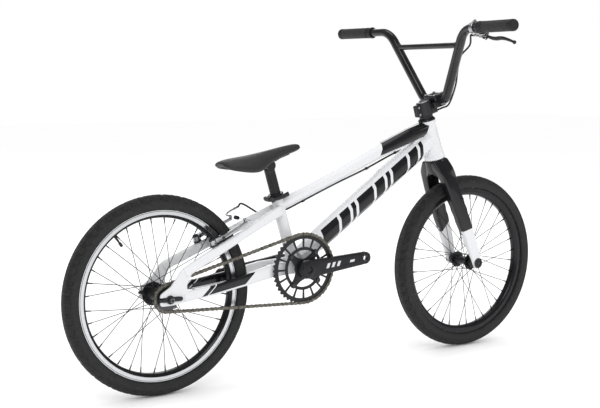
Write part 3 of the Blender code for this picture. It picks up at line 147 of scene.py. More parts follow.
def pickFaces(piece, wanted):
    # selects the faces that wanted(centre, normal) accepts
    bpy.ops.mesh.select_mode(type="FACE")
    bpy.ops.mesh.select_all(action="DESELECT")
    mesh = bmesh.from_edit_mesh(piece.data)
    for face in mesh.faces:
        face.select_set(bool(wanted(face.calc_center_median(), face.normal)))
    bmesh.update_edit_mesh(piece.data)


def frameOf(along, across):
    along = along.normalized()
    across = (across - along * across.dot(along)).normalized()
    return Matrix((across, along.cross(across), along)).transposed()


def lofted(name, sides, stations, flats=False):
    # circles set along a line and bridged; a station is (place, along, across, half width, half depth).
    # With flats, sides face the section's axes instead of corners
    deselectAll()
    for number, (place, along, across, wide, deep) in enumerate(stations):
        turn = frameOf(along, across)
        bpy.ops.mesh.primitive_circle_add(vertices=sides, radius=wide, fill_type="NOTHING", location=place,
                                          rotation=turn.to_euler())
        if number == 0:
            piece = named(name)
            bpy.ops.object.mode_set(mode="EDIT")
            bpy.ops.mesh.select_mode(type="VERT")
    # each circle is drawn in to its own width and depth
    mesh = bmesh.from_edit_mesh(piece.data)
    mesh.verts.ensure_lookup_table()
    reach, shift = (1 / math.cos(math.pi / sides), 0.5) if flats else (1, 0)
    for number, (place, along, across, wide, deep) in enumerate(stations):
        turn = frameOf(along, across)
        for k in range(sides):
            angle = math.tau * (k + shift) / sides
            mesh.verts[number * sides + k].co = place + turn @ Vector((math.cos(angle) * wide * reach,
                                                                       math.sin(angle) * deep * reach, 0))
    bmesh.update_edit_mesh(piece.data)
    for number in range(len(stations) - 1):
        pickPoints(piece, lambda place, k: number * sides <= k < (number + 2) * sides)
        bpy.ops.mesh.bridge_edge_loops()
    for first in (0, (len(stations) - 1) * sides):
        pickPoints(piece, lambda place, k: first <= k < first + sides)
        bpy.ops.mesh.edge_face_add()
    turnOutward()
    return piece


def alongLine(points, sizes, across=axisY):
    # stations square to a line of points, each with its (half width, half depth)
    stations = []
    for number, place in enumerate(points):
        ahead = points[min(number + 1, len(points) - 1)]
        behind = points[max(number - 1, 0)]
        size = sizes[number] if isinstance(sizes, list) else sizes
        along = (ahead - behind).normalized()
        across = (across - along * across.dot(along)).normalized()
        stations.append((place, along, across, size[0], size[1]))
    return stations


def drawnLine(name, points):
    # one point, extruded from place to place
    deselectAll()
    bpy.ops.mesh.primitive_plane_add(size=0.001, location=points[0])
    piece = named(name)
    bpy.ops.object.mode_set(mode="EDIT")
    bpy.ops.mesh.select_mode(type="VERT")
    bpy.ops.mesh.select_all(action="SELECT")
    bpy.ops.mesh.merge(type="CENTER")
    for before, after in zip(points, points[1:]):
        bpy.ops.mesh.extrude_region_move(TRANSFORM_OT_translate={"value": after - before})
    return piece


def turned(name, profile, centre, axis=axisY, steps=32):
    # a profile of (radius, distance along the axis), spun round the axis
    axis = axis.normalized()
    start = axisZ if abs(axis.z) < 0.9 else axisX
    out = (start - axis * start.dot(axis)).normalized()
    piece = drawnLine(name, [centre + out * r + axis * a for r, a in profile])
    bpy.ops.mesh.select_all(action="SELECT")
    bpy.ops.mesh.spin(steps=steps, angle=math.tau, center=centre, axis=axis)
    merged()
    turnOutward()
    return piece


def looped(name, profile, *place):
    # a profile closed on itself, so that it spins into a ring or a tube
    return turned(name, [*profile, profile[0]], *place)


def plated(name, outline, low, high):
    # a flat outline of (x, z), filled and pulled to its thickness along Y
    points = [Vector((x, low, z)) for x, z in outline]
    piece = drawnLine(name, points + points[:1])
    merged()
    bpy.ops.mesh.select_all(action="SELECT")
    bpy.ops.mesh.edge_face_add()
    bpy.ops.mesh.extrude_region_move(TRANSFORM_OT_translate={"value": (0, high - low, 0)})
    turnOutward()
    return piece


def rod(name, radius, low, high, centre, axis, steps):
    return turned(name, [(0, low), (radius, low), (radius, high), (0, high)], centre, axis, steps)


def block(name, centre, size, axes=(axisX, axisY, axisZ)):
    deselectAll()
    turn = Matrix([axis.normalized() for axis in axes]).transposed()
    bpy.ops.mesh.primitive_cube_add(size=1, location=centre, rotation=turn.to_euler(), scale=size)
    return named(name)


def modified(piece, kind, **settings):
    modifier = piece.modifiers.new(kind.lower(), kind)
    for key, value in settings.items():
        setattr(modifier, key, value)
    grab(piece)
    bpy.ops.object.modifier_apply(modifier=modifier.name)
    return piece


def bevelled(piece, width, segments=2, angle=30):
    return modified(piece, "BEVEL", width=width, segments=segments, limit_method="ANGLE",
                    angle_limit=math.radians(angle), use_clamp_overlap=True, harden_normals=False)


def cutAway(piece, *cutters):
    for cutter in cutters:
        modified(piece, "BOOLEAN", operation="DIFFERENCE", object=cutter, solver="EXACT")
        bpy.data.objects.remove(cutter)
    return piece


def smoothed(piece, angle=35):
    grab(piece)
    bpy.ops.object.shade_smooth_by_angle(angle=math.radians(angle))
    return piece


def copied(piece, name, matrix):
    twin = piece.copy()
    twin.data = piece.data.copy()
    twin.name = name
    twin.data.name = name
    bpy.context.scene.collection.objects.link(twin)
    twin.data.transform(matrix)
    return twin


def joined(name, pieces):
    deselectAll()
    for piece in pieces:
        piece.select_set(True)
    bpy.context.view_layer.objects.active = pieces[0]
    if len(pieces) > 1:
        bpy.ops.object.join()
    pieces[0].name = name
    pieces[0].data.name = name
    return pieces[0]


def placed(start, end, across=None):
    # a matrix that lays a piece made up the Z axis between two places
    along = end - start
    across = across or (axisX if abs(along.normalized().x) < 0.9 else axisZ)
    return Matrix.Translation(start) @ frameOf(along, across).to_4x4()


def smoothLine(points, steps=6):
    line = []
    last = len(points) - 1
    for i in range(last):
        p0, p1, p2, p3 = points[max(i - 1, 0)], points[i], points[i + 1], points[min(i + 2, last)]
        for k in range(steps):
            t = k / steps
            line.append(0.5 * ((2 * p1) + (p2 - p0) * t + (2 * p0 - 5 * p1 + 4 * p2 - p3) * t ** 2
                               + (3 * p1 - p0 - 3 * p2 + p3) * t ** 3))
    line.append(points[-1])
    return line


def filletLine(points, radii, steps=8):
    # straight runs joined by arcs
    line = [points[0]]
    for before, corner, after, radius in zip(points, points[1:], points[2:], radii):
        a, b = (before - corner).normalized(), (after - corner).normalized()
        half = a.angle(b) / 2
        reach = radius / math.tan(half)
        centre = corner + (a + b).normalized() * radius / math.sin(half)
        first, last = corner + a * reach - centre, corner + b * reach - centre
        whole = first.angle(last)
        for k in range(steps + 1):
            share = k / steps
            line.append(centre + (first * math.sin((1 - share) * whole) + last * math.sin(share * whole))
                        / math.sin(whole))
    line.append(points[-1])
    return line


def piped(name, points, radius, sides=12):
    # a round tube along a line
    along = (points[1] - points[0]).normalized()
    across = axisX if abs(along.x) < 0.8 else axisZ
    return lofted(name, sides, alongLine(points, (radius, radius), across))


def finished(piece, body, finish, stands=(), angle=35):
    # dressed in one material, smoothed and given its body; the nodes it stands for are hidden
    piece.data.materials.clear()
    piece.data.materials.append(finish)
    smoothed(piece, angle)
    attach(piece, body)
    if stands:
        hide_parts(*stands)
    return piece


# shader maths: a reading is a number that changes over the surface

class Reading:
    def __init__(self, recipe, socket):
        self.recipe, self.socket = recipe, socket

    def maths(self, operation, *others, first=None):
        values = [self if first is None else first, *others]
        return self.recipe.add("ShaderNodeMath", {"operation": operation}, dict(enumerate(values)))

    def __add__(self, other):
        return self.maths("ADD", other)

    __radd__ = __add__

    def __sub__(self, other):
        return self.maths("SUBTRACT", other)

    def __rsub__(self, other):
        return self.maths("SUBTRACT", self, first=other)

    def __mul__(self, other):
        return self.maths("MULTIPLY", other)

    __rmul__ = __mul__

    def __truediv__(self, other):
        return self.maths("DIVIDE", other)

    def __rtruediv__(self, other):
        return self.maths("DIVIDE", self, first=other)

    def __pow__(self, other):
        return self.maths("POWER", other)

    def __lt__(self, other):
        return self.maths("LESS_THAN", other)

    def __gt__(self, other):
        return self.maths("GREATER_THAN", other)

    def __abs__(self):
        return self.maths("ABSOLUTE")

    def wave(self):
        return self.maths("SINE")

    def fraction(self):
        return self.maths("FRACT")

    def smaller(self, other):
        return self.maths("MINIMUM", other)

    def between(self, low, high):
        return (self > low) * (self < high)

    def ramp(self, low, high):
        # 0 below low, 1 above high, straight between
        return self.recipe.add("ShaderNodeMapRange", {"clamp": True},
                               {0: self, 1: low, 2: high, 3: 0.0, 4: 1.0})


class Recipe:
    # one material, its shader's fixed values set on the sockets themselves
    def __init__(self, name, colour, roughness, metallic=0.0, **fixed):
        self.material = bpy.data.materials.new(name)
        self.material.use_nodes = True
        self.nodes = self.material.node_tree.nodes
        self.links = self.material.node_tree.links
        self.shader = self.nodes["Principled BSDF"]
        self.shader.inputs["Base Color"].default_value = (*colour, 1)
        self.shader.inputs["Roughness"].default_value = roughness
        self.shader.inputs["Metallic"].default_value = metallic
        for key, value in fixed.items():
            self.shader.inputs[key.replace("_", " ")].default_value = value
        self.material.diffuse_color = (*colour, 1)
        self.height = None

    def add(self, kind, settings, inputs, output=0):
        node = self.nodes.new(kind)
        for key, value in settings.items():
            setattr(node, key, value)
        for key, value in inputs.items():
            if isinstance(value, Reading):
                self.links.new(value.socket, node.inputs[key])
            elif isinstance(value, bpy.types.NodeSocket):
                self.links.new(value, node.inputs[key])
            else:
                node.inputs[key].default_value = value
        return Reading(self, node.outputs[output])

    def place(self, move=(0, 0, 0), turn=(0, 0, 0), size=(1, 1, 1)):
        spot = self.add("ShaderNodeTexCoord", {}, {}, "Object")
        return self.add("ShaderNodeMapping", {"vector_type": "POINT"},
                        {"Vector": spot, "Location": move, "Rotation": turn, "Scale": size})

    def sides(self, vector=None):
        # x, y and z as three readings
        split = self.nodes.new("ShaderNodeSeparateXYZ")
        vector = vector or self.add("ShaderNodeTexCoord", {}, {}, "Object")
        self.links.new(vector.socket, split.inputs[0])
        return [Reading(self, socket) for socket in split.outputs]

    def noise(self, scale, detail=3.0, vector=None):
        vector = vector or self.add("ShaderNodeTexCoord", {}, {}, "Object")
        return self.add("ShaderNodeTexNoise", {}, {"Vector": vector, "Scale": scale, "Detail": detail})

    def cells(self, scale):
        vector = self.add("ShaderNodeTexCoord", {}, {}, "Object")
        return self.add("ShaderNodeTexVoronoi", {"feature": "F1"}, {"Vector": vector, "Scale": scale})

    def blend(self, mask, first, second):
        # colours, each a tuple or a colour reading
        colours = [(*c, 1) if isinstance(c, tuple) and len(c) == 3 else c for c in (first, second)]
        return self.add("ShaderNodeMix", {"data_type": "RGBA"}, {0: mask, 6: colours[0], 7: colours[1]}, 2)

    def colour(self, reading):
        self.links.new(reading.socket, self.shader.inputs["Base Color"])

    def rough(self, reading):
        self.links.new(reading.socket, self.shader.inputs["Roughness"])

    def metal(self, reading):
        self.links.new(reading.socket, self.shader.inputs["Metallic"])

    def bump(self, height, distance, strength=1.0):
        # distance is the depth in metres of a height of one; a second bump builds on the first
        settings = {"Height": height, "Distance": distance, "Strength": strength}
        if self.height is not None:
            settings["Normal"] = self.height
        self.height = self.add("ShaderNodeBump", {}, settings)
        for link in list(self.shader.inputs["Normal"].links):
            self.links.remove(link)
        self.links.new(self.height.socket, self.shader.inputs["Normal"])


# finishes

paintLooks = {
    "white": (0.70, 0.705, 0.725),
    "black": (0.006, 0.006, 0.0075),
    "orangePeel": 0.00004,      # depth of the lacquer's ripple
}


def lacquer(recipe):
    # a very slight ripple, and a finer speckle in the gloss
    recipe.bump(recipe.noise(260, 2), paintLooks["orangePeel"], 0.35)


def whitePaint(name="whiteLacquer", mask=None):
    recipe = Recipe(name, paintLooks["white"], 0.30, Coat_Weight=0.35, Coat_Roughness=0.05,
                    Specular_IOR_Level=0.25)
    tone = recipe.noise(9, 3).ramp(0.35, 0.65)
    white = recipe.blend(tone, paintLooks["white"], tuple(c * 0.975 for c in paintLooks["white"]))
    height = recipe.sides()[2]
    dust = recipe.noise(60, 5).ramp(0.52, 0.78) * (1 - height.ramp(0.20, 0.42)) * 0.10
    white = recipe.blend(dust, white, (0.50, 0.47, 0.43))
    rough = 0.26 + 0.10 * recipe.noise(30, 4)
    if mask is None:
        recipe.colour(white)
        recipe.rough(rough)
    else:
        marks = mask(recipe)
        recipe.colour(recipe.blend(marks, white, paintLooks["black"]))
        recipe.rough(rough - marks * 0.10)
    lacquer(recipe)
    return recipe.material


def blackPaint():
    recipe = Recipe("blackLacquer", paintLooks["black"], 0.16, Coat_Weight=0.5, Coat_Roughness=0.04,
                    Specular_IOR_Level=0.2)
    recipe.colour(recipe.blend(recipe.noise(14, 3).ramp(0.4, 0.62), paintLooks["black"], (0.016, 0.016, 0.018)))
    recipe.rough(0.15 + 0.10 * recipe.noise(45, 5).ramp(0.45, 0.8))
    lacquer(recipe)
    return recipe.material


def anodised(name, colour=(0.016, 0.016, 0.018), rough=0.34):
    # bead-blasted grain under the dye, and a painted highlight that makes edges and high spots a touch lighter
    recipe = Recipe(name, colour, rough, 0.55)
    grain = recipe.noise(1800, 2)
    # painted highlight: convex edges and high spots are mixed towards a lighter grey
    edge = recipe.add("ShaderNodeNewGeometry", {}, {}, "Pointiness").ramp(0.53, 0.60)
    light = tuple(c * 2.6 + 0.02 for c in colour)
    recipe.colour(recipe.blend(edge * 0.5, recipe.blend(grain.ramp(0.4, 0.7), colour,
                                                        tuple(c * 1.35 for c in colour)), light))
    recipe.rough(rough - 0.05 + 0.16 * recipe.noise(55, 4))
    recipe.bump(grain, 0.00002, 0.5)
    return recipe.material


def alloy(name, colour, rough, brush=None):
    # brush is the turn of fine lines along the piece
    recipe = Recipe(name, colour, rough, 1.0)
    if brush:
        lines = recipe.noise(300, 3, vector=recipe.place(size=brush))
    else:
        lines = recipe.noise(700, 2)
    recipe.colour(recipe.blend(lines.ramp(0.3, 0.7), tuple(c * 0.88 for c in colour), colour))
    recipe.rough(rough + 0.14 * (lines - 0.5) + 0.06 * recipe.noise(40, 4))
    recipe.bump(lines, 0.00001, 0.6)
    return recipe.material


def wheelReadings(recipe, hub):
    # distance from the axle, side to side place and turn round the axle
    x, y, z = recipe.sides(recipe.place(move=(-hub.x, 0, -hub.z)))
    radius = (x * x + z * z) ** 0.5
    turn = x.maths("ARCTAN2", z)
    return radius, y, turn


def tyreRubber(name, hub):
    recipe = Recipe(name, (0.020, 0.020, 0.022), 0.72, Specular_IOR_Level=0.35)
    radius, _, turn = wheelReadings(recipe, hub)
    worn = radius.ramp(*tyreShape["worn"])
    dust = recipe.noise(90, 6).ramp(0.45, 0.75)
    base = recipe.blend(dust * 0.5, (0.014, 0.014, 0.015), (0.040, 0.039, 0.038))
    recipe.colour(recipe.blend(worn * (0.35 + 0.4 * dust), base, (0.062, 0.061, 0.060)))
    recipe.rough(0.62 + 0.22 * dust)
    # moulded rings on the sidewall, a fine weave below the tread and grain all over
    rings = ((radius * 2400).wave() * 0.5 + 0.5) * radius.between(*tyreShape["rings"])
    ribs = ((turn * 460).wave() * 0.5 + 0.5) * radius.between(*tyreShape["ribs"])
    recipe.bump(rings + ribs, 0.00030, 0.8)
    recipe.bump(recipe.noise(1400, 3), 0.00007, 0.7)
    return recipe.material


def rimFinish(name, hub, machined):
    recipe = Recipe(name, (0.014, 0.014, 0.016), 0.26, 0.5)
    radius, y, turn = wheelReadings(recipe, hub)
    if machined:
        band = radius.between(*rimShape["band"]) + radius.between(*rimShape["lip"])
        mask = (band * (abs(y) > rimShape["bandSide"])).smaller(1.0)
        lines = recipe.noise(1, 3, vector=recipe.add("ShaderNodeCombineXYZ", {}, {
            0: radius * 5200, 1: turn * 6, 2: 0.0}))
        recipe.colour(recipe.blend(mask, (0.014, 0.014, 0.016),
                                   recipe.blend(lines.ramp(0.35, 0.65), (0.52, 0.53, 0.55), (0.80, 0.81, 0.83))))
        recipe.rough(0.26 + mask * (0.10 * lines - 0.02))
        recipe.metal(0.5 + mask * 0.5)
        recipe.bump(lines * mask, 0.00002, 0.8)
    else:
        scuff = recipe.noise(120, 5).ramp(0.55, 0.8) * (radius > 0.197)
        recipe.colour(recipe.blend(scuff * 0.5, (0.012, 0.012, 0.014), (0.060, 0.060, 0.062)))
        recipe.rough(0.22 + 0.18 * scuff + 0.05 * recipe.noise(20, 3))
        recipe.bump(recipe.noise(900, 2), 0.00002, 0.5)
    return recipe.material


def rubber():
    colour, rough = (0.018, 0.018, 0.020), 0.7
    recipe = Recipe("softRubber", colour, rough)
    dust = recipe.noise(70, 5).ramp(0.5, 0.8)
    recipe.colour(recipe.blend(dust * 0.5, colour, tuple(c * 2.2 + 0.01 for c in colour)))
    recipe.rough(rough - 0.06 + 0.18 * dust)
    recipe.bump(recipe.noise(900, 3), 0.00006, 0.7)
    return recipe.material


gripLooks = {"spirals": 7, "groovesPerMetre": 1250, "patterned": (-0.121, -0.014)}


def gripRubber(name, tip, outward):
    # two families of spiral grooves cross into diamonds, with painted shade that makes the grooves darker than the
    # diamonds
    recipe = Recipe(name, (0.016, 0.016, 0.018), 0.68)
    turn = frameOf(outward, axisZ).inverted()
    x, y, z = recipe.sides(recipe.place(move=tuple(-(turn @ tip)), turn=tuple(turn.to_euler())))
    around = x.maths("ARCTAN2", y)
    spiral, rise = around * gripLooks["spirals"], z * gripLooks["groovesPerMetre"]
    leftHand, rightHand = (spiral + rise).wave(), (spiral - rise).wave()
    diamonds = abs(leftHand).smaller(abs(rightHand)).ramp(0.05, 0.45) * z.between(*gripLooks["patterned"])
    # painted shade: the grooves between the diamonds are coloured darker than the diamond tops
    recipe.colour(recipe.blend(diamonds, (0.010, 0.010, 0.011), (0.030, 0.030, 0.032)))
    recipe.rough(0.60 + 0.16 * recipe.noise(140, 4))
    recipe.bump(diamonds, 0.0006, 0.9)
    recipe.bump(recipe.noise(1500, 2), 0.00004, 0.6)
    return recipe.material


def chainSteel():
    recipe = Recipe("oiledChainSteel", (0.12, 0.115, 0.098), 0.36, 0.8)
    oil = recipe.noise(220, 5).ramp(0.35, 0.7)
    recipe.colour(recipe.blend(oil, (0.20, 0.192, 0.165), (0.060, 0.056, 0.044)))
    recipe.rough(0.30 + 0.22 * oil)
    recipe.bump(recipe.noise(2600, 2), 0.00001, 0.6)
    return recipe.material


def housing():
    recipe = Recipe("cableHousing", (0.013, 0.013, 0.014), 0.42)
    recipe.rough(0.36 + 0.18 * recipe.noise(160, 4))
    recipe.colour(recipe.blend(recipe.noise(40, 4).ramp(0.4, 0.7), (0.011, 0.011, 0.012), (0.024, 0.024, 0.025)))
    recipe.bump(recipe.noise(1600, 2), 0.00003, 0.5)
    return recipe.material


white = whitePaint()
gloss = blackPaint()
black = anodised("blackAnodised")
satin = anodised("satinBlack", (0.022, 0.022, 0.024), 0.42)
silver = alloy("polishedAlloy", (0.46, 0.465, 0.475), 0.22)
brushed = alloy("brushedAlloy", (0.60, 0.61, 0.63), 0.30, (0.2, 1, 1))
boltSteel = alloy("boltSteel", (0.50, 0.49, 0.47), 0.28)
darkSteel = alloy("darkSteel", (0.10, 0.10, 0.105), 0.34)
spokeSteel = alloy("blackSpoke", (0.045, 0.045, 0.048), 0.30)
softRubber = rubber()
cableSkin = housing()
chainFinish = chainSteel()
print("finishes made")


# wheels: the rear one is modelled, the front one is a copy moved to its hub

tyreShape = {
    "sectionCentre": 0.2222,    # from the axle
    "section": 0.0225,          # radius, tread blocks included
    "wall": 0.0026,
    "bead": 0.2093,
    "steps": 176,
    "knobRise": 0.0011,
    "knobEdge": 0.0007,
    # distances from the axle where the rubber is worn, ringed and ribbed
    "worn": (0.2410, 0.2446),
    "rings": (0.2125, 0.2195),
    "ribs": (0.2265, 0.2310),
}


def makeTyre(name):
    s = tyreShape
    skin = s["section"] - s["knobRise"]
    low = math.asin((s["bead"] + 0.0015 - s["sectionCentre"]) / skin)
    count = 27
    outer = [(s["sectionCentre"] + skin * math.sin(a), skin * math.cos(a)) for a in
             [low + (math.pi - 2 * low) * k / (count - 1) for k in range(count)]]
    inner = [(s["sectionCentre"] + (skin - s["wall"]) * math.sin(a), -(skin - s["wall"]) * math.cos(a)) for a in
             [low + (math.pi - 2 * low) * k / 8 for k in range(9)]]
    profile = ([(s["bead"], 0.0131)] + outer + [(s["bead"], -0.0131), (s["bead"], -0.0102)] + inner
               + [(s["bead"], 0.0102), (s["bead"], 0.0131)])
    tyre = turned(name, profile, rearHub, steps=s["steps"])
    editPiece(tyre)

    def isKnob(place, normal):
        offset = place - rearHub
        out = math.hypot(offset.x, offset.z)
        if out < 0.2285 or normal.dot(Vector((offset.x, 0, offset.z)) + axisY * offset.y * 8) < 0:
            return False
        if math.hypot(out - s["sectionCentre"], offset.y) < skin - 0.001:
            return False
        row = round(math.degrees(math.atan2(offset.y, out - s["sectionCentre"])) / 6.9)
        column = int((math.atan2(offset.z, offset.x) / math.tau + 0.5) * s["steps"])
        if abs(row) > 10:
            return False
        return (column + abs(row)) % 3 != 0 if abs(row) > 1 else (column + row) % 2 == 0
    pickFaces(tyre, isKnob)
    bpy.ops.mesh.inset(thickness=s["knobEdge"], use_individual=True)
    bpy.ops.transform.shrink_fatten(value=s["knobRise"])
    leaveEdit()
    return tyre


rimShape = {"halfWidth": 0.0136, "top": 0.2090, "foot": 0.1890, "well": 0.1985, "steps": 144,
            "band": (0.1968, 0.2050), "lip": (0.2062, 0.2080), "bandSide": 0.0128}


def makeRim(name):
    s = rimShape
    half, top, foot, well = s["halfWidth"], s["top"], s["foot"], s["well"]
    side = [(top - 0.0004, half - 0.0018), (top, half - 0.0013), (top, half - 0.0004), (top - 0.0005, half),
            (top - 0.0120, half), (top - 0.0126, half - 0.0005), (foot + 0.0040, half - 0.0022),
            (foot + 0.0012, half - 0.0058), (foot, half - 0.0082)]
    profile = ([(well + 0.0030, half - 0.0024)] + side + [(r, -y) for r, y in side[::-1]]
               + [(well + 0.0030, -(half - 0.0024)), (well, -(half - 0.0058)), (well - 0.0020, 0),
                  (well, half - 0.0058), (well + 0.0030, half - 0.0024)])
    return turned(name, profile, rearHub, steps=s["steps"])


spokeShape = {
    "count": 36,
    "crossings": 3,
    "radius": 0.00092,
    "stagger": 0.004,
    "nippleLength": 0.0125,
    "nippleRadius": 0.0021,
    "rimEnd": 0.1885,
}


def makeSpokes(name, flangeRadius, flangeOffset):
    s = spokeShape
    perSide = s["count"] // 2
    lead = math.tau / perSide * s["crossings"]
    runs = []
    for k in range(s["count"]):
        side = 1 if k % 2 else -1
        way = 1 if (k // 2) % 2 else -1
        atRim = math.tau * (k + 0.5) / s["count"]
        atHub = atRim + way * lead
        start = rearHub + (axisX * math.cos(atHub) + axisZ * math.sin(atHub)) * (flangeRadius - 0.0028)
        start += axisY * side * (flangeOffset + way * s["stagger"] / 2)
        end = rearHub + (axisX * math.cos(atRim) + axisZ * math.sin(atRim)) * s["rimEnd"] + axisY * side * 0.0025
        runs.append((start, end))
    length = (runs[0][1] - runs[0][0]).length
    r, n, m = s["radius"], s["nippleRadius"], s["nippleLength"]
    sizes = [(0, r * 0.6), (0.0004, r), (length - m, r), (length - m + 0.0004, n * 0.75),
             (length - 0.0035, n * 0.8), (length - 0.0032, n), (length, n)]
    wire = lofted(name + "_one", 6, [(axisZ * z, axisZ, axisX, size, size) for z, size in sizes])
    head = turned(name + "_head", [(0, 0.0016), (0.0012, 0.0013), (0.0019, 0.0004), (0.0019, 0), (0, 0)],
                  Vector(), axisZ, 8)
    copies = []
    for start, end in runs:
        copies.append(copied(wire, name + "_copy", placed(start, end)))
        side = 1 if start.y > 0 else -1
        face = Vector((start.x, side * (flangeOffset + 0.0016), start.z))
        copies.append(copied(head, name + "_copy", placed(face, face + axisY * side * 0.01)))
    bpy.data.objects.remove(wire)
    bpy.data.objects.remove(head)
    return joined(name, copies)


def makeValve(name):
    out = (axisX * math.cos(2.20) + axisZ * math.sin(2.20)).normalized()
    profile = [(0, 0), (0.0030, 0), (0.0030, 0.0100), (0.0026, 0.0150), (0.0026, 0.0225), (0.0038, 0.0230),
               (0.0039, 0.0300), (0.0030, 0.0330), (0, 0.0334)]
    return turned(name, profile, rearHub + out * 0.1902, -out, 14)


def toFront(piece, name):
    return copied(piece, name, Matrix.Translation(frontHub - rearHub))


tyre = makeTyre("rear_tyre_tread")
frontTyre = toFront(tyre, "front_tyre_tread")
finished(tyre, "rear_wheel", tyreRubber("rearTyreRubber", rearHub), ["rear_tyre"], 28)
finished(frontTyre, "front_wheel", tyreRubber("frontTyreRubber", frontHub), ["front_tyre"], 28)

rim = makeRim("rear_rim_wall")
frontRim = toFront(rim, "front_rim_wall")
finished(rim, "rear_wheel", rimFinish("machinedRim", rearHub, True), ["rear_rim"])
finished(frontRim, "front_wheel", rimFinish("blackRim", frontHub, False), ["front_rim"])

valve = makeValve("rear_valve")
frontValve = toFront(valve, "front_valve")
finished(valve, "rear_wheel", softRubber)
finished(frontValve, "front_wheel", softRubber)

hubShape = {
    # radius and offset of the flanges, radius of the barrel
    "rear": (0.0290, 0.031, 0.0180),
    "front": (0.0225, 0.028, 0.0122),
    "flangeHalf": 0.0015,
}
rearSpokes = makeSpokes("rear_spoke_set", *hubShape["rear"][:2])
frontSpokes = makeSpokes("front_spoke_set", *hubShape["front"][:2])
frontSpokes.data.transform(Matrix.Translation(frontHub - rearHub))
finished(rearSpokes, "rear_wheel", spokeSteel, ["rear_spokes"])
finished(frontSpokes, "front_wheel", spokeSteel, ["front_spokes"])


def makeHub(name, hub, flange, offset, barrel, right, left):
    # right and left are (radius, distance from the middle) from each flange outwards
    half = hubShape["flangeHalf"]
    profile = [(0, -right[-1][1])] + [(r, -a) for r, a in right[::-1]]
    for a, b in ((-offset - half, -offset + half), (offset - half, offset + half)):
        profile += [(barrel + 0.0020, a), (flange - 0.0006, a), (flange, a + 0.0006), (flange, b - 0.0006),
                    (flange - 0.0006, b), (barrel + 0.0020, b)]
        if a < 0:
            profile += [(barrel, b + 0.004), (barrel * 0.93, 0), (barrel, -b - 0.004)]
    profile += left + [(0, left[-1][1])]
    return turned(name, profile, hub, steps=48)


rearHubPiece = makeHub("rear_hub_shell", rearHub, *hubShape["rear"], [(0.0185, 0.0335), (0.0180, 0.0362)],
                       [(0.0150, 0.0340), (0.0140, 0.0400), (0.0120, 0.0440), (0.0120, 0.0505)])
frontEnd = [(0.0150, 0.0310), (0.0140, 0.0400), (0.0135, 0.0490)]
frontHubPiece = makeHub("front_hub_shell", frontHub, *hubShape["front"], frontEnd, frontEnd)
finished(rearHubPiece, "rear_wheel", black, ["rear_hub"], 30)
finished(frontHubPiece, "front_wheel", black, ["front_hub"], 30)
print("wheels made")


# frame: tubes with flat facets, welded stays, and generic black graphics

frameShape = {
    # forward of the rear hub, height, width, depth
    "topTube": ((0.345, 0.4420, 0.0290, 0.0280), (0.420, 0.4720, 0.0350, 0.0290), (0.530, 0.5150, 0.0380, 0.0310),
                (0.650, 0.5660, 0.0420, 0.0360), (0.760, 0.6080, 0.0440, 0.0400), (0.826, 0.6290, 0.0400, 0.0400)),
    "downTube": ((0.402, 0.3040, 0.0440, 0.0420), (0.470, 0.3500, 0.0520, 0.0520), (0.560, 0.4120, 0.0532, 0.0545),
                 (0.640, 0.4670, 0.0540, 0.0560), (0.760, 0.5490, 0.0520, 0.0560), (0.836, 0.5970, 0.0460, 0.0500)),
    # forward, height, side, width, depth
    "chainstay": ((0.036, 0.2465, 0.0585, 0.0135, 0.023), (0.125, 0.2535, 0.0495, 0.0150, 0.025),
                  (0.220, 0.2670, 0.0390, 0.0160, 0.028), (0.300, 0.2810, 0.0305, 0.0160, 0.033),
                  (0.375, 0.2850, 0.0235, 0.0160, 0.035)),
    "seatstay": ((0.040, 0.3035, 0.0585, 0.0130, 0.024), (0.130, 0.3440, 0.0465, 0.0140, 0.024),
                 (0.220, 0.3820, 0.0345, 0.0150, 0.021), (0.290, 0.4125, 0.0245, 0.0150, 0.024),
                 (0.338, 0.4330, 0.0175, 0.0150, 0.027)),
    "facetEdge": 0.0028,
    "stayEdge": 0.0052,
    "headLength": 0.110,
    "headTop": 0.0235,
    "headBottom": 0.0285,
    "seatLength": 0.197,
    "seatRadius": 0.0155,
    "shellRadius": 0.0215,
    "shellHalf": 0.034,
}


def eightSided(name, stations):
    points = [fromHub(x, z) for x, z, w, d in stations]
    sizes = [(w / 2, d / 2) for x, z, w, d in stations]
    tube = lofted(name, 8, alongLine(points, sizes), flats=True)
    return bevelled(tube, frameShape["facetEdge"], 3, 28)


def alongTube(recipe, first, last):
    # distance along a tube from its first end, and above its middle line
    a, b = fromHub(*first), fromHub(*last)
    along = (b - a).normalized()
    x, y, z = recipe.sides(recipe.place(move=(-a.x, 0, -a.z)))
    return x * along.x + z * along.z, z * along.x - x * along.z, y


markShape = {
    # where each mark starts and stops along its tube, its lean, and how far it reaches either side of the middle
    "bars": (0.0, 0.4080),
    "barStart": 0.070,
    "barPeriod": 0.1360,
    "barShares": ((0.02, 0.46), (0.53, 0.78), (0.85, 0.95)),
    "barLean": 0.55,
    "barReach": 0.0225,
    "panel": (0.128, 0.302),
    "panelLean": 0.9,
    "patch": (0.066, 0.196),
    "patchLean": 1.5,
    "patchReach": 0.0115,
    "patchLine": (0.084, 0.0018),
}


def blockBars(recipe):
    # slanted bars of three widths in turn, on the down tube's two sides
    s, t, y = alongTube(recipe, (0.402, 0.304), (0.836, 0.597))
    lean = s - markShape["barLean"] * t - markShape["barStart"]
    part = (lean / markShape["barPeriod"]).fraction()
    bars = sum(part.between(*share) for share in markShape["barShares"])
    return bars * (abs(t) < markShape["barReach"]) * lean.between(*markShape["bars"]) * (abs(y) > 0.0085)


def topPanel(recipe):
    # a glossy panel over the top and the upper sides, cut off at a slant
    s, t, _ = alongTube(recipe, (0.530, 0.515), (0.826, 0.629))
    return (s - markShape["panelLean"] * t).between(*markShape["panel"]) * (t > -0.0030 - 0.10 * (s - 0.13))


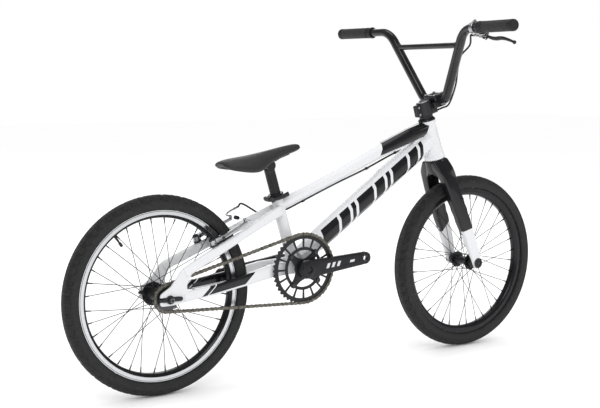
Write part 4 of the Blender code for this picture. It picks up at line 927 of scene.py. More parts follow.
def stayPatch(recipe):
    # a slanted patch on each chainstay's outer face, split by a thin white line
    s, t, y = alongTube(recipe, (0.036, 0.2465), (0.300, 0.2810))
    lean = s - markShape["patchLean"] * t
    inside = lean.between(*markShape["patch"]) * (abs(t) < markShape["patchReach"])
    middle, half = markShape["patchLine"]
    return inside * (1 - (abs(lean - middle) < half)) * (abs(y) > 0.020)


def makeFrameTubes():
    s = frameShape
    down = eightSided("down_tube_shell", s["downTube"])
    finished(down, "frame", whitePaint("downTubeLacquer", blockBars), ["down_tube"], 30)
    top = eightSided("top_tube_shell", s["topTube"])
    finished(top, "frame", whitePaint("topTubeLacquer", topPanel), ["top_tube"], 30)

    high, low, tall = s["headTop"], s["headBottom"], s["headLength"]
    head = looped("head_tube_shell", [
        (high - 0.0032, tall - 0.008), (high - 0.0032, tall - 0.0004), (high - 0.0026, tall), (high - 0.0006, tall),
        (high, tall - 0.0006), (high, tall - 0.0080), (high - 0.0007, tall - 0.0092), (high - 0.0007, tall * 0.64),
        (high + 0.0006, tall * 0.50), (low - 0.0016, 0.0190), (low - 0.0008, 0.0125), (low, 0.0110), (low, 0.0006),
        (low - 0.0006, 0), (low - 0.0032, 0), (low - 0.0032, 0.0080)],
        headFoot, headUp, 56)
    finished(head, "frame", white, ["head_tube"], 32)

    r, tall = s["seatRadius"], s["seatLength"]
    seat = looped("seat_tube_shell", [(r - 0.0016, 0), (r, 0), (r, tall - 0.0004), (r - 0.0004, tall),
                                      (r - 0.0016, tall)], bottomBracket, seatUp, 40)
    finished(seat, "frame", white, ["seat_tube"])

    r, half = s["shellRadius"], s["shellHalf"]
    shell = looped("bracket_shell", [(r - 0.0038, -half), (r - 0.0006, -half), (r, -half + 0.0006), (r, -half + 0.004),
                                     (r - 0.0006, -half + 0.0052), (r - 0.0006, half - 0.0052), (r, half - 0.004),
                                     (r, half - 0.0006), (r - 0.0006, half), (r - 0.0038, half)],
                   bottomBracket, axisY, 48)
    finished(shell, "frame", white, ["bottom_bracket_shell"])

    # gussets: a web between the two tubes behind the head tube, and a bridge between the chainstays
    web = plated("head_gusset", [(fromHub(x, z).x, z) for x, z in
                                 ((0.748, 0.560), (0.826, 0.604), (0.822, 0.622), (0.786, 0.610))], -0.012, 0.012)
    finished(bevelled(web, 0.003, 3), "frame", white)
    bridge = lofted("stay_bridge", 12, alongLine([fromHub(0.322, 0.283, side) for side in (-0.026, 0.026)],
                                                (0.0105, 0.0080), axisX))
    finished(bridge, "frame", white)


def dropoutOutline():
    hx, hz = rearHub.x, rearHub.z
    slot, end = 0.0054, 0.0280
    tail = [(end + slot * math.sin(a), slot * math.cos(a)) for a in [math.pi * k / 8 for k in range(9)]]
    outer = [(-0.0240, 0.0080), (-0.0222, 0.0130), (-0.0185, 0.0162), (0.0040, 0.0300), (0.0180, 0.0470),
             (0.0300, 0.0640), (0.0370, 0.0685), (0.0490, 0.0705), (0.0550, 0.0670), (0.0580, 0.0540),
             (0.0500, 0.0400), (0.0460, 0.0300), (0.0460, 0.0210), (0.0520, 0.0150), (0.0600, 0.0110),
             (0.0600, -0.0080), (0.0380, -0.0110), (0.0180, -0.0140), (0.0, -0.0150), (-0.0200, -0.0150),
             (-0.0232, -0.0125), (-0.0240, -0.0080)]
    return ([(hx - 0.0240, hz + slot)] + [(hx + x, hz + z) for x, z in outer] + [(hx - 0.0240, hz - slot)]
            + [(hx + x, hz + z) for x, z in tail[::-1]])


def makeRearTriangle():
    s = frameShape
    inner, thick = 0.0553, 0.0067
    for name, side in bothSides:
        low, high = sorted((side * inner, side * (inner + thick)))
        drop = bevelled(plated("dropout_plate_" + name, dropoutOutline(), low, high), 0.0009, 2)
        finished(drop, "frame", white, ["dropout_" + name])
        for stay in ("chainstay", "seatstay"):
            stations = s[stay]
            points = [fromHub(x, z, side * y) for x, z, y, w, d in stations]
            sizes = [(w / 2, d / 2) for x, z, y, w, d in stations]
            tube = lofted(f"{stay}_tube_{name}", 4, alongLine(points, sizes), flats=True)
            bevelled(tube, s["stayEdge"], 4, 40)
            paint = whitePaint(f"{stay}Lacquer_{name}", stayPatch) if stay == "chainstay" else white
            finished(tube, "frame", paint, [f"{stay}_{name}"], 40)
        # the post that the brake arm turns on
        foot = fromHub(0.136, 0.3465, side * 0.043)
        post = turned("brake_post_" + name, [(0, 0), (0.0085, 0), (0.0080, 0.0110), (0.0052, 0.0135), (0.0050, 0.0290),
                                             (0, 0.0292)], foot, postOut, 24)
        finished(post, "frame", white)


# up the seatstays, and square to them, the way the brake posts stand
stayUp = Vector((0.92125, 0, 0.388972))
postOut = Vector((-stayUp.z, 0, stayUp.x))
makeFrameTubes()
makeRearTriangle()

# headset cover and spacer, tapered and grooved
cover = looped("headset_cap", [(0.0149, 0.0003), (0.0238, 0.0003), (0.0240, 0.0012), (0.0234, 0.0034), (0.0205, 0.0068),
                               (0.0196, 0.0078), (0.0184, 0.0080), (0.0184, 0.0084), (0.0187, 0.0088),
                               (0.0187, 0.0134), (0.0183, 0.0139), (0.0149, 0.0139)],
               onHead(0.110), headUp, 48)
finished(cover, "steering", black, ["headset_cover"], 30)

# bottom bracket cups
for cupName, cupSide in bothSides:
    cup = looped("bracket_cup_" + cupName, [(0.0124, 0.022), (0.0174, 0.022), (0.0174, 0.0343), (0.0212, 0.0343),
                                            (0.0215, 0.0350), (0.0215, 0.0395), (0.0200, 0.0430), (0.0124, 0.0430)],
                 bottomBracket, axisY * cupSide, 32)
    finished(cup, "frame", black, ["bearing_cup_" + cupName], 30)

# rear axle ends: slotted tensioner plates, flanged nuts and their adjusting bolts
axleShape = {"nutRadius": 0.0088, "nutStart": 0.0654, "nutHeight": 0.0085, "plateOut": 0.0623, "plateThick": 0.0025}
for endName, endSide in bothSides:
    a = axleShape
    centre = rearHub + axisX * 0.006
    slotted = []
    for low, high, reach in ((-90, 90, 0.022), (90, 270, -0.022)):
        for k in range(9):
            angle = math.radians(low + (high - low) * k / 8)
            slotted.append((centre.x + reach + 0.0052 * math.cos(angle), centre.z + 0.0052 * math.sin(angle)))
    low, high = sorted((endSide * a["plateOut"], endSide * (a["plateOut"] + a["plateThick"])))
    slider = plated("tension_plate_" + endName, slotted, low, high)
    washer = turned("tension_washer_" + endName, [(0, 0), (0.0100, 0), (0.0105, 0.0005), (0.0105, 0.0020),
                                                  (0.0100, 0.0025), (0, 0.0025)],
                    rearHub + axisY * endSide * a["plateOut"], axisY * endSide, 32)
    adjuster = turned("tension_bolt_" + endName, [(0, -0.012), (0.0022, -0.012), (0.0022, 0.0), (0.0036, 0.0002),
                                                  (0.0038, 0.0030), (0.0030, 0.0036), (0, 0.0036)],
                      rearHub + Vector((-0.0215, endSide * 0.0590, 0)), -axisX, 12)
    plate = joined("tensioner_" + endName, [bevelled(slider, 0.0005, 2), washer, adjuster])
    finished(plate, "frame", satin, ["chain_tensioner_" + endName])
    nutAt = rearHub + axisY * endSide * a["nutStart"]
    corners = ((0.0018, a["nutRadius"]), (0.0070, a["nutRadius"]), (a["nutHeight"], 0.0078))
    nut = lofted("wheel_nut_" + endName, 6, [(nutAt + axisY * endSide * y, axisY * endSide, axisX, r, r)
                                             for y, r in corners])
    bevelled(nut, 0.0005, 2, 25)
    flange = turned("nut_flange", [(0, 0), (0.0104, 0), (0.0106, 0.0006), (0.0094, 0.0019), (0, 0.0019)], nutAt,
                    axisY * endSide, 32)
    tip = turned("axle_tip", [(0, 0.0085), (0.0048, 0.0085), (0.0048, 0.0108), (0.0042, 0.0114), (0, 0.0114)], nutAt,
                 axisY * endSide, 20)
    nut = joined("wheel_nut_" + endName, [nut, flange, tip])
    finished(nut, "frame", satin, ["axle_nut_" + endName])
print("frame made")


# drivetrain

driveShape = {
    "pitch": 0.0127,
    "ringTeeth": 44,
    "cogTeeth": 16,
    "line": 0.0455,
    "thick": 0.0030,
    "toothRoot": 0.0034,
    "toothTip": 0.0029,
    "toothFlank": 0.0002,
    "boltCircle": 0.052,
    "windows": 16,
    "crankTurn": math.radians(5.2),
    "crankLength": 0.175,
    "face": 0.071,
    "flare": 0.006,
}


def sprocket(name, centre, teeth, rings, thick, windows=0, windowRings=(0, 1), phase=0.0):
    # a circle with four points to a tooth, drawn inwards ring by ring, then thickened
    s = driveShape
    radius = s["pitch"] / 2 / math.sin(math.pi / teeth)
    root = radius - s["toothRoot"]
    count = teeth * 4
    deselectAll()
    turn = Matrix.Rotation(math.radians(90), 4, "X") @ Matrix.Rotation(phase, 4, "Z")
    bpy.ops.mesh.primitive_circle_add(vertices=count, radius=root, fill_type="NOTHING", location=centre,
                                      rotation=turn.to_euler())
    piece = named(name)
    bpy.ops.object.mode_set(mode="EDIT")
    bpy.ops.mesh.select_mode(type="VERT")
    bpy.ops.mesh.select_all(action="SELECT")
    size = root
    for inner in rings:
        bpy.ops.mesh.extrude_edges_move()
        bpy.ops.transform.resize(value=(inner / size,) * 3, center_override=centre)
        size = inner
    for remainder, reach in ((0, s["toothTip"]), (1, s["toothFlank"]), (3, s["toothFlank"])):
        pickPoints(piece, lambda place, k: k < count and k % 4 == remainder)
        bpy.ops.transform.resize(value=((radius + reach) / root,) * 3, center_override=centre)
    if windows:
        wide = count / windows

        def inWindow(place, normal):
            offset = place - centre
            if not windowRings[0] < math.hypot(offset.x, offset.z) < windowRings[1]:
                return False
            share = (math.atan2(offset.z, offset.x) / math.tau * windows) % 1
            return abs(share - 0.5) < 0.5 - 1.02 / wide
        pickFaces(piece, inWindow)
        bpy.ops.mesh.delete(type="FACE")
    leaveEdit()
    modified(piece, "SOLIDIFY", thickness=thick, offset=0, use_even_offset=False)
    editPiece(piece)
    turnOutward()
    return piece


def chainPlaces():
    # evenly spaced pins round the chainring, the lower run, the cog and the upper run
    s = driveShape
    big = s["pitch"] / 2 / math.sin(math.pi / s["ringTeeth"])
    small = s["pitch"] / 2 / math.sin(math.pi / s["cogTeeth"])
    run = rearHub - bottomBracket
    heading = math.atan2(run.z, run.x)
    wrap = math.acos((big - small) / run.length)
    loop = []
    for centre, radius, first, last, count in ((bottomBracket, big, heading + wrap, heading + math.tau - wrap, 360),
                                               (rearHub, small, heading - wrap, heading + wrap, 160)):
        for k in range(count + 1):
            angle = first + (last - first) * k / count
            loop.append(centre + Vector((math.cos(angle), 0, math.sin(angle))) * radius - axisY * s["line"])
    loop.append(loop[0])
    reach = [0.0]
    for before, after in zip(loop, loop[1:]):
        reach.append(reach[-1] + (after - before).length)
    links = 2 * round(reach[-1] / s["pitch"] / 2)
    places = []
    number = 0
    for k in range(links):
        wanted = reach[-1] * (k + 0.35) / links
        while reach[number + 1] < wanted:
            number += 1
        share = (wanted - reach[number]) / (reach[number + 1] - reach[number])
        places.append(loop[number].lerp(loop[number + 1], share))
    return places


def makeChain():
    s = driveShape
    half = s["pitch"] / 2
    shape = [(half + 0.0036, 0.0012), (half + 0.0026, 0.0034), (half - 0.0008, 0.0040), (0.0022, 0.0031),
             (-0.0022, 0.0031), (-half + 0.0008, 0.0040), (-half - 0.0026, 0.0034), (-half - 0.0036, 0.0012)]
    outline = shape + [(x, -z) for x, z in shape[::-1]]
    plate = plated("chain_plate", outline, -0.00048, 0.00048)
    roller = lofted("chain_roller", 10, [(axisY * y, axisY, axisX, r, r) for y, r in
                                         ((-0.0046, 0.0014), (-0.0043, 0.0017), (-0.0041, 0.0017), (-0.0019, 0.0017),
                                          (-0.0018, 0.0036), (0.0018, 0.0036), (0.0019, 0.0017), (0.0041, 0.0017),
                                          (0.0043, 0.0017), (0.0046, 0.0014))])
    places = chainPlaces()
    print("chain of", len(places), "links")
    parts = []
    for k, place in enumerate(places):
        following = places[(k + 1) % len(places)]
        along = (following - place).normalized()
        turn = Matrix((along, axisY, along.cross(axisY))).transposed().to_4x4()
        middle = (place + following) / 2
        reach = 0.0036 if k % 2 else 0.0024
        for side in (-1, 1):
            parts.append(copied(plate, "link", Matrix.Translation(middle + axisY * side * reach) @ turn))
        parts.append(copied(roller, "link", Matrix.Translation(place) @ turn))
    bpy.data.objects.remove(plate)
    bpy.data.objects.remove(roller)
    return joined("chain_links", parts)


def onCrank(reach, height=0.0, out=0.0, side=-1):
    # a point in an arm's own frame: along it, up from it and out from the centre plane
    turn = driveShape["crankTurn"]
    along = Vector((-side * math.cos(turn), 0, -side * math.sin(turn)))
    up = Vector((side * math.sin(turn), 0, -side * math.cos(turn)))
    if up.z < 0:
        up = -up
    return bottomBracket + along * reach + up * height + axisY * side * out


def crankMarks(side):
    # three short slanted dashes and a bar at the pedal end, on the outer face
    def mask(recipe):
        centre, tip = onCrank(0, side=side), onCrank(0.1, side=side)
        along = (tip - centre).normalized()
        x, y, z = recipe.sides(recipe.place(move=(-centre.x, 0, -centre.z)))
        s, t = x * along.x + z * along.z, z * along.x - x * along.z
        lean = s - 0.5 * t
        dashes = ((lean - 0.052) / 0.016).fraction().between(0.20, 0.72) * lean.between(0.052, 0.100)
        bar = lean.between(0.126, 0.140)
        height = abs(t)
        return (dashes * (height < 0.0062) + bar * (height < 0.0030)).smaller(1.0) * (abs(y) > 0.0690)
    return mask


def crankFinish(name, side):
    recipe = Recipe(name, (0.016, 0.016, 0.018), 0.30, 0.5)
    marks = crankMarks(side)(recipe)
    grain = recipe.noise(1800, 2)
    recipe.colour(recipe.blend(marks, recipe.blend(grain.ramp(0.4, 0.7), (0.013, 0.013, 0.015), (0.022, 0.022, 0.024)),
                               (0.62, 0.63, 0.65)))
    recipe.rough(0.28 + 0.14 * recipe.noise(50, 4) + 0.1 * marks)
    recipe.metal(0.5 - 0.5 * marks)
    recipe.bump(grain, 0.00002, 0.5)
    return recipe.material


def makeCrankArm(name, side):
    s = driveShape
    along = onCrank(1, side=side) - onCrank(0, side=side)

    def faceAt(reach):
        return s["face"] + s["flare"] * max(reach, 0) / s["crankLength"]
    stations = []
    for reach, half, thick in ((-0.0235, 0.0105, 0.0080), (-0.0190, 0.0175, 0.0120), (-0.008, 0.0228, 0.0145),
                               (0.006, 0.0236, 0.0145), (0.024, 0.0222, 0.0145), (0.050, 0.0206, 0.0143),
                               (0.090, 0.0192, 0.0138), (0.130, 0.0178, 0.0132), (0.158, 0.0170, 0.0128),
                               (0.176, 0.0158, 0.0124), (0.186, 0.0122, 0.0118), (0.1905, 0.0075, 0.0105)):
        middle = onCrank(reach, 0, faceAt(reach) - thick / 2, side)
        stations.append((middle, along, axisY, thick / 2, half))
    arm = lofted(name, 4, stations, flats=True)
    bevelled(arm, 0.0032, 3, 40)
    # a long shallow channel along the outer face
    channel = []
    for reach, half in ((0.034, 0.0030), (0.040, 0.0085), (0.150, 0.0065), (0.156, 0.0024)):
        channel.append((onCrank(reach, 0, faceAt(reach), side), along, axisY, 0.0007, half))
    cutAway(arm, lofted("channel_tool", 4, channel, flats=True))
    pedal = onCrank(s["crankLength"], side=side)
    eyeFace = s["face"] + s["flare"]
    eye = looped("pedal_eye", [(0.0072, eyeFace - 0.0125), (0.0150, eyeFace - 0.0125), (0.0160, eyeFace - 0.0118),
                               (0.0160, eyeFace - 0.0010), (0.0152, eyeFace), (0.0082, eyeFace),
                               (0.0072, eyeFace - 0.0008)], pedal, axisY * side, 40)
    cutAway(arm, rod("pedal_tool", 0.0074, 0.03, 0.1, pedal, axisY * side, 32))
    boss = looped("boss", [(0.0, s["face"] - 0.0095), (0.0, s["face"] - 0.0040), (0.0046, s["face"] - 0.0040),
                           (0.0050, s["face"] - 0.0024), (0.0088, s["face"] - 0.0024), (0.0092, s["face"] + 0.0024),
                           (0.0100, s["face"] + 0.0034), (0.0168, s["face"] + 0.0034), (0.0190, s["face"] + 0.0024),
                           (0.0204, s["face"] + 0.0002), (0.0208, s["face"] - 0.0020), (0.0208, s["face"] - 0.0095)],
                  bottomBracket, axisY * side, 48)
    inner = 0.0470 if side < 0 else 0.0485
    trunk = looped("trunk", [(0.0121, inner), (0.0205, inner), (0.0225, inner + 0.0020), (0.0225, s["face"] - 0.006),
                             (0.0121, s["face"] - 0.006)], bottomBracket, axisY * side, 40)
    return joined(name, [arm, eye, boss, trunk])


def makeSpider():
    # four arms to the bolt circle, halfway between the crank's own quarters
    points = []
    for k in range(4):
        middle = math.degrees(driveShape["crankTurn"]) + 45 + 90 * k
        for angle, radius in ((-40, 0.0265), (-26, 0.0300), (-16, 0.0360), (-10, 0.0460), (-8.5, 0.0545), (-5, 0.0590),
                              (0, 0.0602), (5, 0.0590), (8.5, 0.0545), (10, 0.0460), (16, 0.0360), (26, 0.0300),
                              (40, 0.0265)):
            a = math.radians(middle + angle)
            points.append((bottomBracket.x + radius * math.cos(a), bottomBracket.z + radius * math.sin(a)))
    line = driveShape["line"]
    return bevelled(plated("crank_spider", points, -line - 0.0068, -line - 0.0019), 0.0008, 2)


flatShare, recess = 0.8794, 0.55


def socketBolt(name, place, out, radius, height):
    # a round head, its top inset and drawn down into a six-sided socket
    deselectAll()
    bpy.ops.mesh.primitive_cylinder_add(vertices=18, radius=radius, depth=height, location=axisZ * height / 2)
    bolt = named(name)
    bpy.ops.object.mode_set(mode="EDIT")
    pickFaces(bolt, lambda centre, normal: normal.z > 0.9)
    bpy.ops.mesh.inset(thickness=radius * (1 - recess))
    inner = radius * recess * 0.99
    # every third point stays a corner, the others are drawn in to the six flats
    bpy.ops.mesh.select_mode(type="VERT")
    mesh = bmesh.from_edit_mesh(bolt.data)
    for point in mesh.verts:
        size = math.hypot(point.co.x, point.co.y)
        nearCorner = (math.degrees(math.atan2(point.co.y, point.co.x)) + 360) % 60
        middle = point.co.z > height * 0.9 and size < inner * 1.2 and 6 < nearCorner < 54
        if middle:
            point.co.x *= flatShare
            point.co.y *= flatShare
    bmesh.update_edit_mesh(bolt.data)
    pickFaces(bolt, lambda centre, normal: normal.z > 0.9 and math.hypot(centre.x, centre.y) < radius * 0.05)
    bpy.ops.mesh.extrude_region_move(TRANSFORM_OT_translate={"value": (0, 0, -height * 0.55)})
    leaveEdit()
    bevelled(bolt, radius * 0.12, 2, 50)
    bolt.data.transform(placed(place, place + out))
    return bolt


def makeDrive():
    s = driveShape
    ring = sprocket("chainring_plate", bottomBracket - axisY * s["line"], s["ringTeeth"],
                    (0.0830, 0.0765, 0.0700, 0.0620, 0.0555, 0.0500, 0.0475), s["thick"], s["windows"],
                    (0.0555, 0.0765))
    bevelled(ring, 0.0003, 1, 50)
    bolts = []
    for k in range(4):
        a = s["crankTurn"] + math.radians(45 + 90 * k)
        spot = (bottomBracket + Vector((math.cos(a), 0, math.sin(a))) * s["boltCircle"]
                - axisY * (s["line"] + 0.0066))
        bolts.append(socketBolt("ring_bolt", spot, -axisY, 0.0046, 0.0022))
        bolts.append(socketBolt("ring_bolt", spot + axisY * 0.0098, axisY, 0.0046, 0.0016))
    bolts = joined("chainring_bolts", bolts)
    finished(ring, "crankset", satin, ["chainring"])
    finished(bolts, "crankset", darkSteel)
    spider = makeSpider()
    finished(spider, "crankset", black)
    right = makeCrankArm("crank_right_forging", -1)
    left = makeCrankArm("crank_left_forging", 1)
    finished(right, "crankset", crankFinish("crankRightFinish", -1), ["crank_arm_right"])
    finished(left, "crankset", crankFinish("crankLeftFinish", 1), ["crank_arm_left"])

    cog = sprocket("cog_plate", rearHub - axisY * s["line"], s["cogTeeth"], (0.0260, 0.0200, 0.0172), s["thick"])
    carrier = looped("cog_carrier", [(0.0056, 0.0372), (0.0172, 0.0372), (0.0175, 0.0380), (0.0175, 0.0498),
                                     (0.0168, 0.0505), (0.0125, 0.0505), (0.0118, 0.0488), (0.0056, 0.0488)],
                     rearHub, -axisY, 36)
    cog = joined("cog_with_driver", [bevelled(cog, 0.0003, 1, 50), carrier])
    finished(cog, "driver", darkSteel, ["rear_cog"])

    chain = makeChain()
    finished(chain, "frame", chainFinish, ["chain"], 40)


makeDrive()


# fork: crown, tapering legs with three soft swells on their front edge, and the axle's end caps

forkShape = {
    # down from the head tube, half width, half depth
    "crown": ((0.0020, 0.0283, 0.0283), (0.0060, 0.0290, 0.0287), (0.0120, 0.0305, 0.0285), (0.0200, 0.0350, 0.0277),
              (0.0290, 0.0412, 0.0262), (0.0390, 0.0472, 0.0245), (0.0490, 0.0515, 0.0230), (0.0580, 0.0545, 0.0214)),
    # down, forward, side, width, depth
    "leg": ((0.0030, -0.0005, 0.0118, 0.0300, 0.0500), (0.0110, -0.0003, 0.0150, 0.0320, 0.0515),
            (0.0210, 0.0000, 0.0216, 0.0330, 0.0510), (0.0320, 0.0004, 0.0300, 0.0318, 0.0480),
            (0.0440, 0.0010, 0.0362, 0.0302, 0.0440), (0.0600, 0.0020, 0.0395, 0.0285, 0.0415),
            (0.0900, 0.0040, 0.0425, 0.0270, 0.0405), (0.1050, 0.0055, 0.0435, 0.0262, 0.0400),
            (0.1220, 0.0085, 0.0445, 0.0256, 0.0430), (0.1370, 0.0105, 0.0453, 0.0252, 0.0395),
            (0.1520, 0.0130, 0.0458, 0.0249, 0.0420), (0.1690, 0.0150, 0.0466, 0.0247, 0.0385),
            (0.1860, 0.0175, 0.0471, 0.0246, 0.0405), (0.2040, 0.0195, 0.0477, 0.0243, 0.0366),
            (0.2350, 0.0235, 0.0493, 0.0218, 0.0357), (0.2600, 0.0265, 0.0510, 0.0190, 0.0350),
            (0.2800, 0.0282, 0.0533, 0.0148, 0.0340), (0.3000, 0.0295, 0.0557, 0.0106, 0.0330),
            (0.3160, 0.0302, 0.0557, 0.0106, 0.0300), (0.3270, 0.0302, 0.0557, 0.0104, 0.0245),
            (0.3330, 0.0302, 0.0557, 0.0100, 0.0150)),
    "edge": 0.0062,
    # the line between black and white: down the leg, its slope, and the leg's outer face
    "border": 0.2130,
    "borderSlope": 0.75,
    "outerFace": 0.0480,
}


def forkBorder(recipe):
    # black above; the lower legs are white below a line that falls towards the front
    x, y, z = recipe.sides(recipe.place(move=(-headFoot.x, 0, -headFoot.z)))
    down = -1 * (x * headUp.x + z * headUp.z)
    ahead = x * headForward.x + z * headForward.z
    outer = abs(y) > forkShape["outerFace"]
    border = down + forkShape["borderSlope"] * (ahead - 0.020) * (1 - outer)
    return 1 - (border > forkShape["border"]) * (abs(y) > 0.020)


def makeFork():
    s = forkShape
    crown = lofted("fork_crown", 24, [(onHead(-d), -headUp, axisY, w, h) for d, w, h in s["crown"]])
    bevelled(crown, 0.0012, 2, 60)
    arch = lofted("arch_tool", 40, [(onHead(-0.0680, ahead), headForward, axisY, 0.0300, 0.0300)
                                    for ahead in (-0.06, 0.06)])
    cutAway(crown, arch)
    paint = whitePaint("forkLacquer", forkBorder)
    finished(crown, "steering", paint, ["fork"], 45)
    for name, side in bothSides:
        points = [onHead(-d, f, side * y) for d, f, y, w, h in s["leg"]]
        stations = [(p, -headUp, axisY, w / 2, h / 2) for p, (d, f, y, w, h) in zip(points, s["leg"])]
        leg = bevelled(lofted("fork_leg_" + name, 4, stations, flats=True), s["edge"], 4, 45)
        finished(leg, "steering", paint, (), 45)
    steerer = looped("fork_steerer", [(0.0123, 0.0), (0.0143, 0.0), (0.0143, 0.1595), (0.0137, 0.1600),
                                      (0.0123, 0.1600)], headFoot, headUp, 32)
    finished(steerer, "steering", brushed)
    race = looped("crown_race", [(0.0150, -0.0022), (0.0272, -0.0022), (0.0282, -0.0014), (0.0276, -0.0003),
                                 (0.0150, -0.0003)], headFoot, headUp, 48)
    finished(race, "steering", darkSteel)
    caps = []
    for side in (-1, 1):
        face = frontHub + axisY * side * 0.0612
        caps.append(turned("axle_cap", [(0, 0.0024), (0.0045, 0.0024), (0.0050, 0.0010), (0.0080, 0.0010),
                                        (0.0086, 0.0021), (0.0130, 0.0021), (0.0142, 0.0012), (0.0143, 0.0002),
                                        (0, 0.0002)], face, axisY * side, 36))
    shaft = rod("axle_shaft", 0.0099, -0.0612, 0.0612, frontHub, axisY, 28)
    axle = joined("front_axle_caps", caps + [shaft])
    finished(axle, "steering", satin, ["front_axle"], 30)


makeFork()
# parts that stay as loaded, in bare steel
for nodeName in ("rear_axle", "crank_spindle", "headset_bearing_lower", "headset_bearing_upper"):
    frame["nodes"][nodeName].data.materials.clear()
    frame["nodes"][nodeName].data.materials.append(boltSteel)
print("drivetrain and fork made")


# cockpit

barShape = {
    "clamp": onHead(0.156, 0.042),
    "tilt": math.radians(12.0),
    "sweep": math.radians(5.6),
    "rise": 0.1945,
    "clampBend": 0.0445,
    "gripRoot": 0.182,
    "shoulder": 0.022,
    "halfWidth": 0.3684,
    "topBend": 0.058,
    "footBend": 0.029,
    "clampRadius": 0.0127,
    "endRadius": 0.0111,
    "crossbarHeight": 0.1500,
    "crossbarRadius": 0.0080,
}


def onBar(height, side, forward=0.0):
    s = barShape
    lean = Vector((-math.sin(s["tilt"]), 0, math.cos(s["tilt"])))
    return s["clamp"] + lean * height + axisX * forward + axisY * side


def gripLine(side):
    s = barShape
    root = onBar(s["rise"], side * s["gripRoot"])
    back = -math.tan(s["sweep"]) * (s["halfWidth"] - s["gripRoot"])
    tip = onBar(s["rise"], side * s["halfWidth"], back)
    return root, tip, (tip - root).normalized()


def barCorners(side):
    root, tip, outward = gripLine(side)
    return [tip, root - outward * barShape["shoulder"], onBar(0, side * barShape["clampBend"])]


def makeBars():
    s = barShape
    bends = (s["topBend"], s["footBend"], s["footBend"], s["topBend"])
    line = filletLine(barCorners(1) + barCorners(-1)[::-1], bends, 9)
    radii = []
    for point in line:
        share = min(1.0, max(0.0, (0.19 - abs(point.y)) / 0.05))
        radii.append(s["endRadius"] + share * (s["clampRadius"] - s["endRadius"]))
    bars = lofted("handlebar_tube", 24, alongLine(line, [(r, r) for r in radii], headForward))
    _, top, foot = barCorners(1)
    end = foot.lerp(top, s["crossbarHeight"] / s["rise"])
    other = Vector((end.x, -end.y, end.z))
    r = s["crossbarRadius"]
    cross = rod("crossbar", r, 0.004, (end - other).length - 0.004, other, axisY, 24)
    welds = []
    for place, way in ((end, -1), (other, 1)):
        # a rippled bead where the crossbar meets the upright
        bead = looped("bead", [(r - 0.001, 0.0105), (r + 0.0011, 0.0118), (r + 0.0018, 0.0134), (r + 0.0011, 0.0150),
                               (r - 0.001, 0.0162)], place, axisY * way, 40)
        editPiece(bead)
        pickPoints(bead, lambda spot, k: int(math.degrees(math.atan2(spot.z - place.z, spot.x - place.x)) / 9) % 2)
        bpy.ops.transform.shrink_fatten(value=-0.0004)
        leaveEdit()
        welds.append(bead)
    bars = joined("handlebar_tube", [bars, cross] + welds)
    finished(bars, "steering", gloss, ["handlebar"], 40)

    # grip: an inner flange, three ribs, the patterned sleeve and a domed end
    flange = [(0.0114, -0.1400), (0.0154, -0.1400), (0.0160, -0.1394), (0.0160, -0.1376), (0.0152, -0.1366),
              (0.0150, -0.1290)]
    ribs = []
    for k in range(3):
        at = -0.1237 + k * 0.0021
        ribs += [(0.0147, at), (0.0153, at + 0.0005), (0.0153, at + 0.0012), (0.0147, at + 0.0017)]
    sleeve = [(0.0146, -0.1190), (0.0150, -0.1175), (0.0150, -0.0160), (0.0146, -0.0145), (0.0146, -0.0125),
              (0.0152, -0.0110), (0.0152, -0.0030), (0.0145, -0.0010), (0.0120, 0.0004), (0.0118, 0.0012),
              (0.0112, 0.0030), (0.0090, 0.0034), (0.0086, 0.0026), (0.0040, 0.0026), (0.0036, 0.0032), (0, 0.0034)]
    for name, side in bothSides:
        _, tip, outward = gripLine(side)
        grip = turned("grip_sleeve_" + name, flange + ribs + sleeve, tip, outward, 40)
        finished(grip, "steering", gripRubber("gripRubber_" + name, tip, outward), ["grip_" + name], 32)


makeBars()

stemShape = {"low": 0.1243, "high": 0.1620, "bar": 0.1560, "reach": 0.042, "plateTop": 0.1732, "barBore": 0.01285}


